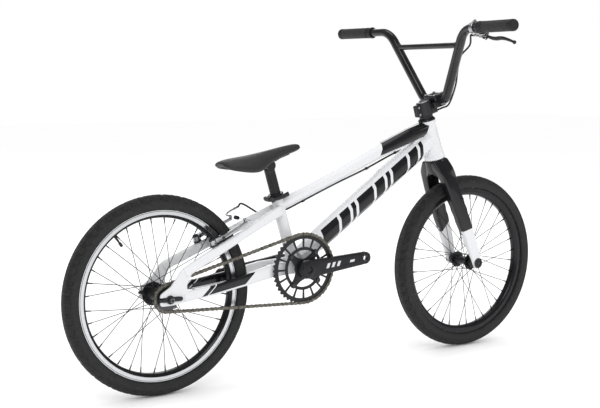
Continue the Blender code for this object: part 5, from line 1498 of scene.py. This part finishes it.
def makeStem():
    s = stemShape
    axes = (headForward, axisY, headUp)
    low, high, bar, reach = s["low"], s["high"], s["bar"], s["reach"]

    def barTool():
        return rod("bar_tool", s["barBore"], -0.06, 0.06, onHead(bar, reach), axisY, 48)
    middle, tall = (low + high) / 2, high - low
    # steerer clamp: a ring with chamfered ends, a split lug behind, a waist forward to the cradle
    ring = looped("stem_ring", [(0.0146, low), (0.0195, low), (0.0205, low + 0.0010), (0.0205, high - 0.0010),
                                (0.0197, high), (0.0146, high)], headFoot, headUp, 56)
    cradleLow = bar - 0.018
    cradle = block("stem_cradle", onHead((cradleLow + bar) / 2 - 0.0002, reach - 0.004), (0.042, 0.050, 0.0172), axes)
    bevelled(cradle, 0.0030, 3)
    # pockets milled into the cradle's sides
    for side in (-1, 1):
        spot = onHead(cradleLow + 0.0045, reach + 0.002, side * 0.0260)
        cutAway(cradle, block("pocket", spot, (0.020, 0.010, 0.0055), axes))
    waist = bevelled(block("stem_waist", onHead(middle - 0.004, 0.018), (0.030, 0.034, tall - 0.010), axes), 0.0035, 3)
    lug = block("stem_lug", onHead(middle, -0.0235), (0.018, 0.017, tall - 0.005), axes)
    bevelled(lug, 0.0030, 3)
    cutAway(lug, block("split", onHead(middle, -0.030), (0.024, 0.0016, 0.06), axes))
    bore = rod("bore_tool", 0.0146, 0.0, 0.3, headFoot, headUp, 48)
    cutAway(cradle, barTool())
    cutAway(waist, copied(bore, "bore_tool2", Matrix()))
    cutAway(lug, bore)
    stem = joined("stem_forging", [ring, cradle, waist, lug])
    finished(stem, "steering", black, ["stem"], 35)

    top = s["plateTop"]
    plate = block("stem_cap", onHead((bar + top) / 2, reach + 0.0005), (0.039, 0.050, top - bar - 0.001), axes)
    bevelled(plate, 0.0030, 3)
    clear = rod("clear_tool", 0.0218, 0.10, 0.3, headFoot, headUp, 48)
    window = block("window_tool", onHead(top, reach), (0.0150, 0.0240, 0.0060), axes)
    cutAway(plate, barTool(), clear, window)
    finished(plate, "steering", black, ["stem_top_plate"], 35)
    bolts = []
    for forward in (-0.0135, 0.0150):
        for side in (-0.0175, 0.0175):
            bolts.append(socketBolt("stem_bolt", onHead(top - 0.0016, reach + forward, side), headUp, 0.0039, 0.0042))
    for up in (low + 0.009, high - 0.009):
        bolts.append(socketBolt("stem_bolt", onHead(up, -0.0255, -0.0078), -axisY, 0.0034, 0.0032))
    finished(joined("stem_bolts", bolts), "steering", silver, (), 35)
    cap = turned("steerer_cap", [(0, high + 0.0003), (0.0168, high + 0.0003), (0.0174, high + 0.0010),
                                 (0.0172, high + 0.0026), (0.0150, high + 0.0040), (0.0080, high + 0.0044),
                                 (0.0060, high + 0.0032), (0, high + 0.0032)], headFoot, headUp, 48)
    bolt = socketBolt("cap_bolt", onHead(high + 0.0020), headUp, 0.0050, 0.0026)
    finished(joined("steerer_cap", [cap, bolt]), "steering", silver, ["top_cap"], 32)


makeStem()
print("cockpit made")


# seat

seatShape = {"postRadius": 0.0136, "postLow": 0.107, "pivotUp": 0.275, "clampLow": 0.1855, "clampTop": 0.199}


def makePost():
    s = seatShape
    r, low, high = s["postRadius"], s["postLow"], s["pivotUp"] - 0.012
    sides = 64
    post = lofted("seatpost_tube", sides, [(onSeat(up), seatUp, axisY, r, r) for up in
                                           (low, low + 0.004, 0.2080, 0.2085, high - 0.012, high - 0.0115, high)])
    # flutes: every other pair of lines is drawn in, between the plain collars
    editPiece(post)
    for ring, up in enumerate((low + 0.004, 0.2080, 0.2085, high - 0.012), 1):
        pickPoints(post, lambda place, k: k // sides == ring and k % 4 in (0, 1))
        bpy.ops.transform.resize(value=(0.955,) * 3, center_override=onSeat(up))
    leaveEdit()
    head = turned("post_head", [(0, -0.0160), (0.0120, -0.0160), (0.0133, -0.0150), (0.0133, -0.0105),
                                (0.0126, -0.0100), (0.0126, 0.0100), (0.0133, 0.0105), (0.0133, 0.0150),
                                (0.0120, 0.0160), (0, 0.0160)], saddlePivot, axisY, 40)
    editPiece(head)
    pickPoints(head, lambda place, k: abs(place.y) < 0.0104 and int((math.degrees(math.atan2(
        place.z - saddlePivot.z, place.x - saddlePivot.x)) + 360) / 9) % 2)
    bpy.ops.transform.resize(value=(0.95, 1, 0.95), center_override=saddlePivot)
    leaveEdit()
    neck = turned("post_neck", [(0, high - 0.002), (r + 0.0004, high - 0.002), (r + 0.0004, high + 0.001),
                                (0.0118, high + 0.006), (0, high + 0.008)], bottomBracket, seatUp, 40)
    post = joined("seatpost_tube", [post, head, neck])
    finished(post, "seatpost", black, ["seatpost"], 25)


def makeClamp():
    s = seatShape
    low, top = s["clampLow"], s["clampTop"]
    collar = looped("clamp_collar", [(0.0158, low), (0.0196, low), (0.0203, low + 0.0008), (0.0203, low + 0.0036),
                                     (0.0198, low + 0.0042), (0.0198, top - 0.0042), (0.0203, top - 0.0036),
                                     (0.0203, top - 0.0008), (0.0192, top + 0.0004), (0.0142, top + 0.0006),
                                     (0.0142, top - 0.0006), (0.0158, top - 0.0020)],
                    bottomBracket, seatUp, 48)
    axes = (seatForward, axisY, seatUp)
    middle = (low + top) / 2
    ear = bevelled(block("clamp_ear", onSeat(middle, -0.0215), (0.013, 0.0215, top - low - 0.001), axes), 0.0020, 2)
    cutAway(ear, block("split", onSeat(middle, -0.024), (0.020, 0.0016, 0.03), axes),
            rod("bore_tool", 0.0158, 0.1, 0.3, bottomBracket, seatUp, 40))
    finished(joined("seat_collar", [collar, ear]), "frame", black, ["seat_clamp"], 30)
    at = onSeat(middle, -0.0232)
    nut = turned("skewer_nut", [(0, 0.0112), (0.0060, 0.0112), (0.0064, 0.0118), (0.0064, 0.0160), (0.0052, 0.0182),
                                (0, 0.0184)], at, axisY, 20)
    shaft = rod("skewer_shaft", 0.0024, -0.0149, 0.0115, at, axisY, 16)
    finished(joined("clamp_skewer_set", [nut, shaft]), "frame", silver, ["clamp_skewer"], 30)
    # the cam lever, wrapped forward along the collar
    pivot = pivots["clamp_lever_open"]
    line = smoothLine([pivot + seatForward * f + axisY * y for f, y in
                       ((-0.0045, 0.0005), (0.004, -0.0020), (0.014, -0.0040), (0.024, -0.0050), (0.036, -0.0036),
                        (0.0485, 0.0005))], 3)
    sizes = [(0.0021 + 0.0014 * k / len(line), 0.0036 + 0.0024 * (k / len(line)) ** 0.8) for k in range(len(line))]
    blade = bevelled(lofted("lever_blade", 8, alongLine(line, sizes), flats=True), 0.0006, 2, 50)
    cam = turned("lever_cam", [(0, -0.0056), (0.0046, -0.0056), (0.0053, -0.0050), (0.0053, 0.0050), (0.0046, 0.0056),
                               (0, 0.0056)], pivot, seatUp, 28)
    finished(joined("clamp_lever_arm", [blade, cam]), "clamp_lever", satin, ["clamp_lever"], 35)


saddleShape = {
    "length": 0.238,
    "halfWidth": 0.059,
    "noseRise": math.radians(8.6),
    # share of the length from the tail, half width, height, droop of the wing
    "stations": ((0.000, 0.36, 0.0315, 0.004), (0.018, 0.56, 0.0342, 0.008), (0.055, 0.745, 0.0362, 0.013),
                 (0.110, 0.855, 0.0374, 0.018), (0.180, 0.935, 0.0374, 0.024), (0.260, 0.990, 0.0368, 0.029),
                 (0.330, 0.985, 0.0364, 0.0315), (0.400, 0.915, 0.0364, 0.0315), (0.470, 0.770, 0.0368, 0.0285),
                 (0.540, 0.600, 0.0374, 0.0245), (0.620, 0.475, 0.0382, 0.0210), (0.710, 0.390, 0.0392, 0.0180),
                 (0.800, 0.345, 0.0399, 0.0155), (0.880, 0.315, 0.0401, 0.0135), (0.940, 0.275, 0.0394, 0.0115),
                 (0.980, 0.205, 0.0372, 0.0080), (1.000, 0.110, 0.0345, 0.0040)),
    "columns": 12,
    "thick": 0.0125,
}


saddleForward = Vector((math.cos(saddleShape["noseRise"]), 0, math.sin(saddleShape["noseRise"])))


def saddleFinish():
    recipe = Recipe("saddleShell", (0.014, 0.014, 0.015), 0.52)
    forward = saddleForward
    x, y, z = recipe.sides(recipe.place(move=tuple(-saddlePivot)))
    s = x * forward.x + z * forward.z
    leather = recipe.cells(620)
    recipe.colour(recipe.blend(leather.ramp(0.1, 0.5), (0.010, 0.010, 0.011), (0.020, 0.020, 0.021)))
    recipe.rough(0.44 + 0.18 * recipe.noise(60, 4))
    # a pressed channel down the middle and a stitched line that follows each wing
    channel = 1 - abs(y).ramp(0.0030, 0.0062)
    wings = 1 - abs(abs(y) - (0.034 - 0.16 * abs(s + 0.062))).ramp(0.0004, 0.0012)
    recipe.bump(1 - channel * s.between(-0.110, 0.030), 0.0012, 0.9)
    recipe.bump(1 - wings * s.between(-0.110, 0.075), 0.0006, 0.8)
    recipe.bump(leather, 0.00016, 0.6)
    return recipe.material


def makeSaddle():
    s = saddleShape
    forward, up = saddleForward, Vector((-saddleForward.z, 0, saddleForward.x))
    rows, columns = len(s["stations"]), s["columns"]
    deselectAll()
    bpy.ops.mesh.primitive_grid_add(x_subdivisions=rows - 1, y_subdivisions=columns, size=2)
    saddle = named("saddle_shell")
    bpy.ops.object.mode_set(mode="EDIT")
    mesh = bmesh.from_edit_mesh(saddle.data)
    # each row of the grid is drawn to its width, lifted to its height, and its wings let down
    for point in mesh.verts:
        row = round((point.co.x + 1) / 2 * (rows - 1))
        across = point.co.y
        share, width, top, droop = s["stations"][row]
        centre = saddlePivot + forward * (share - 0.585) * s["length"] + up * top
        spread = math.copysign(abs(across) ** 0.92, across)
        lip = 0.0035 * max(0.0, abs(across) - 0.75) / 0.25
        point.co = centre + axisY * spread * s["halfWidth"] * width - up * (droop * across ** 2 + lip)
    bmesh.update_edit_mesh(saddle.data)
    leaveEdit()
    modified(saddle, "SOLIDIFY", thickness=s["thick"], offset=-1, use_even_offset=True)
    modified(saddle, "SUBSURF", levels=2, render_levels=2)
    finished(saddle, "saddle", saddleFinish(), ["saddle"], 60)
    base = lofted("saddle_base", 4, [(saddlePivot + forward * f + up * h, forward, axisY, w, d) for f, h, w, d in
                                     ((-0.060, 0.0185, 0.018, 0.0045), (-0.028, 0.0165, 0.018, 0.0060),
                                      (-0.016, 0.0155, 0.0150, 0.0075), (0.016, 0.0155, 0.0150, 0.0075),
                                      (0.030, 0.0175, 0.013, 0.0055), (0.062, 0.0205, 0.010, 0.0040))], flats=True)
    bevelled(base, 0.0022, 3, 40)
    cutAway(base, rod("pivot_tool", 0.0145, -0.05, 0.05, saddlePivot, axisY, 48))
    finished(base, "saddle", satin, (), 35)


makePost()
makeClamp()
makeSaddle()
print("seat made")


# rim brake

brakeShape = {"armLength": 0.104, "postHeight": 0.026, "spread": 0.043, "padSpot": 0.030, "cableLift": 0.0085,
              "padRadius": 0.2020, "padLength": 0.070, "padHeight": 0.009, "padNear": 0.0153}


def armPivot(side):
    return fromHub(0.136, 0.3465, side * brakeShape["spread"]) + postOut * brakeShape["postHeight"]


def armTop(side):
    return armPivot(side) + stayUp * brakeShape["armLength"] - axisY * side * 0.004 + postOut * brakeShape["cableLift"]


def makeBrakeArm(name, side):
    s = brakeShape
    pivot = armPivot(side)
    body = "brake_arm_" + name
    line = smoothLine([pivot + stayUp * up + axisY * side * out for up, out in
                       ((0.004, 0.0), (0.020, 0.0042), (0.038, 0.0062), (0.060, 0.0046), (0.084, -0.0010),
                        (s["armLength"] + 0.004, -0.0046))], 3)
    sizes = []
    for k in range(len(line)):
        share = k / (len(line) - 1)
        sizes.append((0.0064 - 0.0024 * share, 0.0054 - 0.0018 * share))
    arm = bevelled(lofted("arm_" + name, 4, alongLine(line, sizes, axisY), flats=True), 0.0018, 3, 40)
    boss = looped("arm_boss_" + name, [(0.0054, -0.0068), (0.0090, -0.0068), (0.0096, -0.0060), (0.0096, 0.0040),
                                       (0.0088, 0.0050), (0.0054, 0.0050)], pivot, postOut, 32)
    # the pad's washers and nut, dished and stacked either side of the arm
    spot = pivot + stayUp * s["padSpot"] - rearHub
    seatAt = rearHub + Vector((spot.x, 0, spot.z)).normalized() * s["padRadius"]
    nutBase = Vector((seatAt.x, side * (s["spread"] + 0.0110), seatAt.z))
    stack = turned("stack", [(0, -0.019), (0.0058, -0.019), (0.0066, -0.0165), (0.0066, -0.0150), (0.0050, -0.0135),
                             (0, -0.0135)], nutBase, axisY * side, 24)
    arm = joined("brake_arm_forged_" + name, [arm, boss, stack])
    finished(arm, body, silver, [body], 35)
    cap = socketBolt("arm_cap_" + name, pivot + postOut * 0.0048, postOut, 0.0070, 0.0032)
    spring = piped("spring_" + name, smoothLine([pivot + postOut * -0.004 + axisY * side * 0.0112 + stayUp * -0.002,
                                                 pivot + postOut * -0.002 + axisY * side * 0.0125 + stayUp * 0.018,
                                                 pivot + axisY * side * 0.0115 + stayUp * 0.040,
                                                 pivot + axisY * side * 0.0088 + stayUp * 0.052], 4), 0.0008, 8)
    seatRing = looped("spring_base_" + name, [(0.0058, -0.0116), (0.0098, -0.0116), (0.0104, -0.0108),
                                              (0.0104, -0.0074), (0.0058, -0.0070)],
                      pivot, postOut, 32)
    nut = lofted("pad_nut_" + name, 6, [(nutBase + axisY * side * y, axisY, axisX, r, r) for y, r in
                                        ((-0.0030, 0.0046), (0.0008, 0.0046), (0.0016, 0.0040))])
    finished(joined("brake_hardware_" + name, [cap, seatRing, nut]), body, satin, (), 35)
    finished(spring, body, darkSteel, (), 50)

    # brake pad: a curved block with a thin holder, wear grooves on its face
    middle = math.atan2(spot.z, spot.x)
    half = s["padLength"] / 2 / s["padRadius"]
    stations, back = [], []
    for k in range(17):
        share = k / 16
        angle = middle + half * (2 * share - 1)
        out = Vector((math.cos(angle), 0, math.sin(angle)))
        along = Vector((-math.sin(angle), 0, math.cos(angle)))
        groove = 0.0014 if k in (5, 11) else 0.0
        taper = 1.0 - 0.22 * max(0.0, abs(2 * share - 1) - 0.8) / 0.2
        near, far = s["padNear"] + groove, s["padNear"] + 0.0072
        stations.append((rearHub + out * s["padRadius"] + axisY * side * (near + far) / 2, along, axisY,
                         (far - near) / 2, s["padHeight"] / 2 * taper))
        back.append((rearHub + out * s["padRadius"] + axisY * side * (s["padNear"] + 0.0084), along, axisY, 0.0013,
                     s["padHeight"] / 2 * taper * 0.92))
    pad = bevelled(lofted("pad_block_" + name, 4, stations, flats=True), 0.0008, 2, 40)
    holder = lofted("pad_holder_" + name, 4, back, flats=True)
    stud = turned("pad_stud_" + name, [(0, s["padNear"] + 0.0090), (0.0036, s["padNear"] + 0.0090),
                                       (0.0030, s["padNear"] + 0.0110), (0.0030, 0.0400), (0, 0.0400)],
                  seatAt, axisY * side, 16)
    pad = joined("brake_pad_block_" + name, [pad, holder, stud])
    finished(pad, body, softRubber, ["brake_pad_" + name], 35)


def makeBrake():
    for name, side in bothSides:
        makeBrakeArm(name, side)
    start = armTop(1)
    noodle = piped("noodle_pipe", smoothLine([start - axisY * 0.012, start + axisY * 0.006,
                                              start + axisY * 0.022 + stayUp * 0.004,
                                              start + axisY * 0.031 + stayUp * 0.020,
                                              start + axisY * 0.031 + stayUp * 0.040], 6), 0.0025, 14)
    ferrule = turned("noodle_ferrule", [(0, 0.0330), (0.0031, 0.0330), (0.0034, 0.0336), (0.0034, 0.0400),
                                        (0.0030, 0.0408), (0, 0.0408)], start + axisY * 0.031, stayUp, 20)
    yoke = turned("noodle_yoke", [(0, -0.0125), (0.0022, -0.0125), (0.0040, -0.0080), (0.0040, -0.0020), (0.0028, 0.0),
                                  (0, 0.0)], start, axisY, 20)
    link = bevelled(lofted("noodle_link", 4, [(start - postOut * d - axisY * 0.0045, postOut, axisY, 0.0042, 0.0022)
                                              for d in (0.0068, 0.0)], flats=True), 0.0006, 2)
    finished(joined("noodle_set", [noodle, ferrule, yoke, link]), "brake_arm_left", silver,
             ["brake_noodle"], 40)
    folds = []
    for k in range(6):
        at = 0.0302 + k * 0.0026
        folds += [(0.0034 + 0.0003 * (5 - k), at), (0.0050 + 0.0001 * (5 - k) - 0.0002, at + 0.0013)]
    bootLine = [(0.0023, 0.0300)] + folds + [(0.0036, 0.0460), (0.0023, 0.0460), (0.0023, 0.0300)]
    boot = turned("boot_bellows", [(r, -a) for r, a in bootLine], start, axisY, 24)
    finished(boot, "brake_arm_left", softRubber, ["brake_boot"], 50)
    anchor = armTop(-1)
    wireEnd = start - axisY * 0.041
    wire = piped("pull_wire", [anchor - axisY * 0.026, anchor - axisY * 0.006, anchor, wireEnd], 0.0008, 8)
    crimp = turned("wire_crimp", [(0, 0.0225), (0.0012, 0.0225), (0.0013, 0.0280), (0, 0.0282)], anchor, -axisY, 10)
    screw = socketBolt("anchor_screw", anchor - postOut * 0.0008, postOut, 0.0040, 0.0040)
    washer = turned("anchor_washer", [(0, -0.0044), (0.0046, -0.0044), (0.0048, -0.0038), (0.0048, -0.0014),
                                      (0, -0.0012)], anchor, postOut, 20)
    finished(joined("wire_set", [wire, crimp, screw, washer]), "brake_arm_right", silver, ["brake_wire"], 40)


makeBrake()

leverShape = {"direction": Vector((1, 0, -1)).normalized(), "clampSide": 0.206, "pivotSide": 0.228, "pivotDrop": 0.030}


def gripAxis(y):
    root, tip, _ = gripLine(-1)
    return root.lerp(tip, (y - barShape["gripRoot"]) / (barShape["halfWidth"] - barShape["gripRoot"]))


def makeLever():
    s = leverShape
    outward = gripLine(-1)[2]
    down = s["direction"]
    centre = gripAxis(s["clampSide"])
    pivot = gripAxis(s["pivotSide"]) + down * s["pivotDrop"]
    across = outward.cross(down)
    ring = looped("perch_ring", [(0.0118, -0.0065), (0.0152, -0.0065), (0.0162, -0.0058), (0.0162, 0.0058),
                                 (0.0152, 0.0065), (0.0118, 0.0065)], centre, outward, 40)
    axes = (outward, across, down)
    neck = bevelled(block("perch_neck", centre + down * 0.0205 + outward * 0.0025, (0.0150, 0.0140, 0.0150), axes),
                    0.0028, 3)
    body = bevelled(block("perch_body", (centre + pivot) / 2 + down * 0.0110 + outward * 0.0010,
                          (0.0300, 0.0148, 0.0130), axes), 0.0036, 3)
    fork = turned("perch_eye", [(0, -0.0080), (0.0076, -0.0080), (0.0083, -0.0072), (0.0083, 0.0072), (0.0076, 0.0080),
                                (0, 0.0080)], pivot, across, 32)
    slotTool = block("slot_tool", pivot + down * 0.003 + outward * 0.010, (0.034, 0.0088, 0.022), axes)
    slotTool2 = copied(slotTool, "slot_tool2", Matrix())
    cutAway(fork, slotTool)
    cutAway(body, slotTool2)
    barrelEnd = centre + down * 0.0265 - outward * 0.026
    knurl = [(0.0, 0.0), (0.0030, 0.0), (0.0034, 0.0006), (0.0034, 0.0060), (0.0030, 0.0066), (0.0022, 0.0068),
             (0.0022, 0.0110), (0.0044, 0.0112), (0.0046, 0.0118), (0.0046, 0.0176), (0.0042, 0.0182), (0, 0.0182)]
    barrel = turned("perch_barrel", knurl, barrelEnd, outward, 36)
    editPiece(barrel)
    # every other line of points is drawn in, past the barrel's waist
    pickPoints(barrel, lambda place, k: (place - barrelEnd).dot(outward) > 0.0111
               and k % 2 == 0 and ((place - barrelEnd) - outward * (place - barrelEnd).dot(outward)).length > 0.0040)
    bpy.ops.transform.shrink_fatten(value=-0.0003)
    leaveEdit()
    clampBolt = socketBolt("perch_bolt", centre - down * 0.0125 + across * 0.0115, across, 0.0036, 0.0034)
    clampBoss = rod("perch_boss", 0.0044, -0.006, 0.0112, centre - down * 0.0125, across, 20)
    holeTool = rod("bar_tool", 0.0118, -0.05, 0.05, centre, outward, 40)
    cutAway(neck, copied(holeTool, "bar_tool2", Matrix()))
    cutAway(clampBoss, holeTool)
    perch = joined("lever_perch_casting", [ring, neck, body, fork, barrel, clampBolt, clampBoss])
    finished(perch, "steering", silver, ["brake_lever_perch"], 35)

    offsets = ((-0.004, 0.0), (0.006, 0.0035), (0.014, 0.0075), (0.024, 0.0108), (0.038, 0.0116), (0.054, 0.0106),
               (0.068, 0.0130), (0.080, 0.0178), (0.090, 0.0230), (0.0965, 0.0268))
    line = smoothLine([pivot + outward * a + down * b for a, b in offsets], 3)
    sizes = []
    for k in range(len(line)):
        share = k / (len(line) - 1)
        sizes.append((0.0034 + 0.0028 * math.sin(math.pi * min(1.0, share * 1.15)) ** 0.8, 0.0031))
    blade = lofted("lever_blade_main", 10, alongLine(line, [(d, w) for w, d in sizes], across), flats=True)
    bevelled(blade, 0.0006, 2, 50)
    ball = turned("lever_ball", [(0, -0.0048), (0.0026, -0.0042), (0.0044, -0.0022), (0.0050, 0.0), (0.0044, 0.0022),
                                 (0.0026, 0.0042), (0, 0.0048)], line[-1] - outward * 0.0008, outward, 24)
    hub = turned("lever_hub", [(0, -0.0040), (0.0066, -0.0040), (0.0072, -0.0034), (0.0072, 0.0034), (0.0066, 0.0040),
                               (0, 0.0040)], pivot, across, 28)
    blade = joined("lever_blade_forging", [blade, ball, hub])
    finished(blade, "brake_lever", satin, ["brake_lever_blade"], 40)
    pin = socketBolt("lever_pin", pivot + across * 0.0078, across, 0.0036, 0.0016)
    pin2 = socketBolt("lever_pin2", pivot - across * 0.0078, -across, 0.0036, 0.0016)
    finished(joined("lever_pivot_screw", [pin, pin2]), "steering", darkSteel, (), 35)
    return barrelEnd, outward


barrelEnd, gripOutward = makeLever()

cableShape = {"radius": 0.0025, "gap": 0.0006, "noodleGap": 0.0026}


def makeCables():
    s = cableShape
    start = barrelEnd - gripOutward * s["gap"]
    meet = onHead(0.106, 0.021, 0.022)
    front = [start, start - gripOutward * 0.006, start - gripOutward * 0.014, onBar(0.150, -0.148, 0.024),
             onBar(0.120, -0.106, 0.022), onBar(0.080, -0.086, 0.022), onBar(0.040, -0.069, 0.022),
             onHead(0.143, 0.052, -0.044), onHead(0.132, 0.048, -0.016), onHead(0.124, 0.037, 0.010),
             meet + headUp * 0.008, meet + headUp * 0.003, meet]
    cable = piped("front_housing", smoothLine(front, 5), s["radius"], 12)
    finished(cable, "steering", cableSkin, ["brake_cable_front"], 50)
    meet = meet - headUp * s["gap"]
    finish = armTop(1) + axisY * 0.031 + stayUp * (0.040 + s["noodleGap"])
    rear = [meet, meet - headUp * 0.004, meet - headUp * 0.010, onHead(0.070, 0.014, 0.0290),
            onHead(0.050, -0.008, 0.0345), fromHub(0.740, 0.560, 0.0345), fromHub(0.640, 0.521, 0.0315),
            fromHub(0.530, 0.484, 0.0260), fromHub(0.430, 0.446, 0.0245), fromHub(0.370, 0.424, 0.0245),
            fromHub(0.325, 0.412, 0.0400), finish + stayUp * 0.020, finish + stayUp * 0.006, finish]
    cable = piped("rear_housing", smoothLine(rear, 5), s["radius"], 12)
    finished(cable, "frame", cableSkin, ["brake_cable_rear"], 50)
    # guides that hold the rear housing to the frame, and a ferrule at its joint beside the head tube
    guides = []
    for place, along in ((fromHub(0.640, 0.521, 0.0315), fromHub(0.640, 0.521) - fromHub(0.530, 0.484)),
                         (fromHub(0.430, 0.446, 0.0245), fromHub(0.430, 0.446) - fromHub(0.370, 0.424)),
                         (fromHub(0.740, 0.560, 0.0345), fromHub(0.740, 0.560) - fromHub(0.640, 0.521))):
        guides.append(looped("guide", [(0.0025, -0.0030), (0.0036, -0.0030), (0.0040, -0.0022), (0.0040, 0.0022),
                                       (0.0036, 0.0030), (0.0025, 0.0030)], place, along, 18))
        foot = block("guide_foot", place - axisY * 0.0052 + axisZ * 0.0005, (0.0050, 0.0075, 0.0030),
                     (along, axisY, along.cross(axisY)))
        guides.append(bevelled(foot, 0.0008, 2))
    finished(joined("cable_guides", guides), "frame", satin, (), 35)
    stop = looped("cable_stop", [(0.0026, -0.0075), (0.0033, -0.0075), (0.0036, -0.0068), (0.0036, -0.0015),
                                 (0.0033, -0.0008), (0.0026, -0.0008)], meet, headUp, 18)
    finished(stop, "frame", silver, (), 35)


makeCables()
print("brake made")


# floor, light and camera

def makeStage():
    deselectAll()
    bpy.ops.mesh.primitive_plane_add(size=30, location=(0, 0, -0.0004))
    floor = named("floor")
    recipe = Recipe("paleFloor", (0.98, 0.98, 0.98), 0.75, Specular_IOR_Level=0.0)
    recipe.colour(recipe.blend(recipe.noise(1.5, 3), (0.975, 0.975, 0.975), (0.99, 0.99, 0.99)))
    recipe.rough(0.70 + 0.1 * recipe.noise(6, 3))
    floor.data.materials.append(recipe.material)


surround = {"open": 1.0, "reflected": 0.27}
lampPlaces = {
    # name: (place, aim, size, power)
    "keyLight": ((-2.2, -3.2, 3.4), (0.0, 0.0, 0.4), 2.2, 46),
    "fillLight": ((3.4, -2.4, 2.0), (0.1, 0.0, 0.4), 2.0, 16),
    "topLight": ((0.2, 0.3, 4.2), (0.0, 0.0, 0.3), 2.6, 26),
    "rimLight": ((1.6, 3.4, 2.2), (0.0, 0.0, 0.5), 2.0, 24),
}


def makeLamps():
    for name, (place, aim, size, power) in lampPlaces.items():
        deselectAll()
        turn = (Vector(place) - Vector(aim)).to_track_quat("Z", "Y").to_euler()
        bpy.ops.object.light_add(type="AREA", location=place, rotation=turn)
        lamp = bpy.context.object
        lamp.name = name
        lamp.data.shape = "DISK"
        lamp.data.size = size
        lamp.data.energy = power
    world = bpy.context.scene.world or bpy.data.worlds.new("studio")
    bpy.context.scene.world = world
    world.use_nodes = True
    bpy.context.scene.view_settings.view_transform = "Standard"
    backdrop = world.node_tree.nodes["Background"]
    backdrop.inputs["Color"].default_value = (1.0, 1.0, 1.0, 1)
    # the white surround is held back in mirror-like reflections, as dark flags do in a studio
    rays = world.node_tree.nodes.new("ShaderNodeLightPath")
    level = world.node_tree.nodes.new("ShaderNodeMapRange")
    level.inputs["To Min"].default_value = surround["open"]
    level.inputs["To Max"].default_value = surround["reflected"]
    world.node_tree.links.new(rays.outputs["Is Glossy Ray"], level.inputs["Value"])
    world.node_tree.links.new(level.outputs["Result"], backdrop.inputs["Strength"])


cameraPlace = {
    "place": (-1.655, -2.430, 0.769),
    "azimuth": -33.0,
    "elevation": 6.45,
    "lens": 67.8,
}


def makeCamera():
    azimuth, elevation = math.radians(cameraPlace["azimuth"]), math.radians(cameraPlace["elevation"])
    back = Vector((math.sin(azimuth) * math.cos(elevation), -math.cos(azimuth) * math.cos(elevation),
                   math.sin(elevation)))
    bpy.ops.object.camera_add(location=cameraPlace["place"], rotation=back.to_track_quat("Z", "Y").to_euler())
    camera = bpy.context.object
    camera.name = "viewCamera"
    camera.data.lens = cameraPlace["lens"]
    camera.data.sensor_width = 36
    bpy.context.scene.camera = camera


makeStage()
makeLamps()
makeCamera()

print("scene complete")
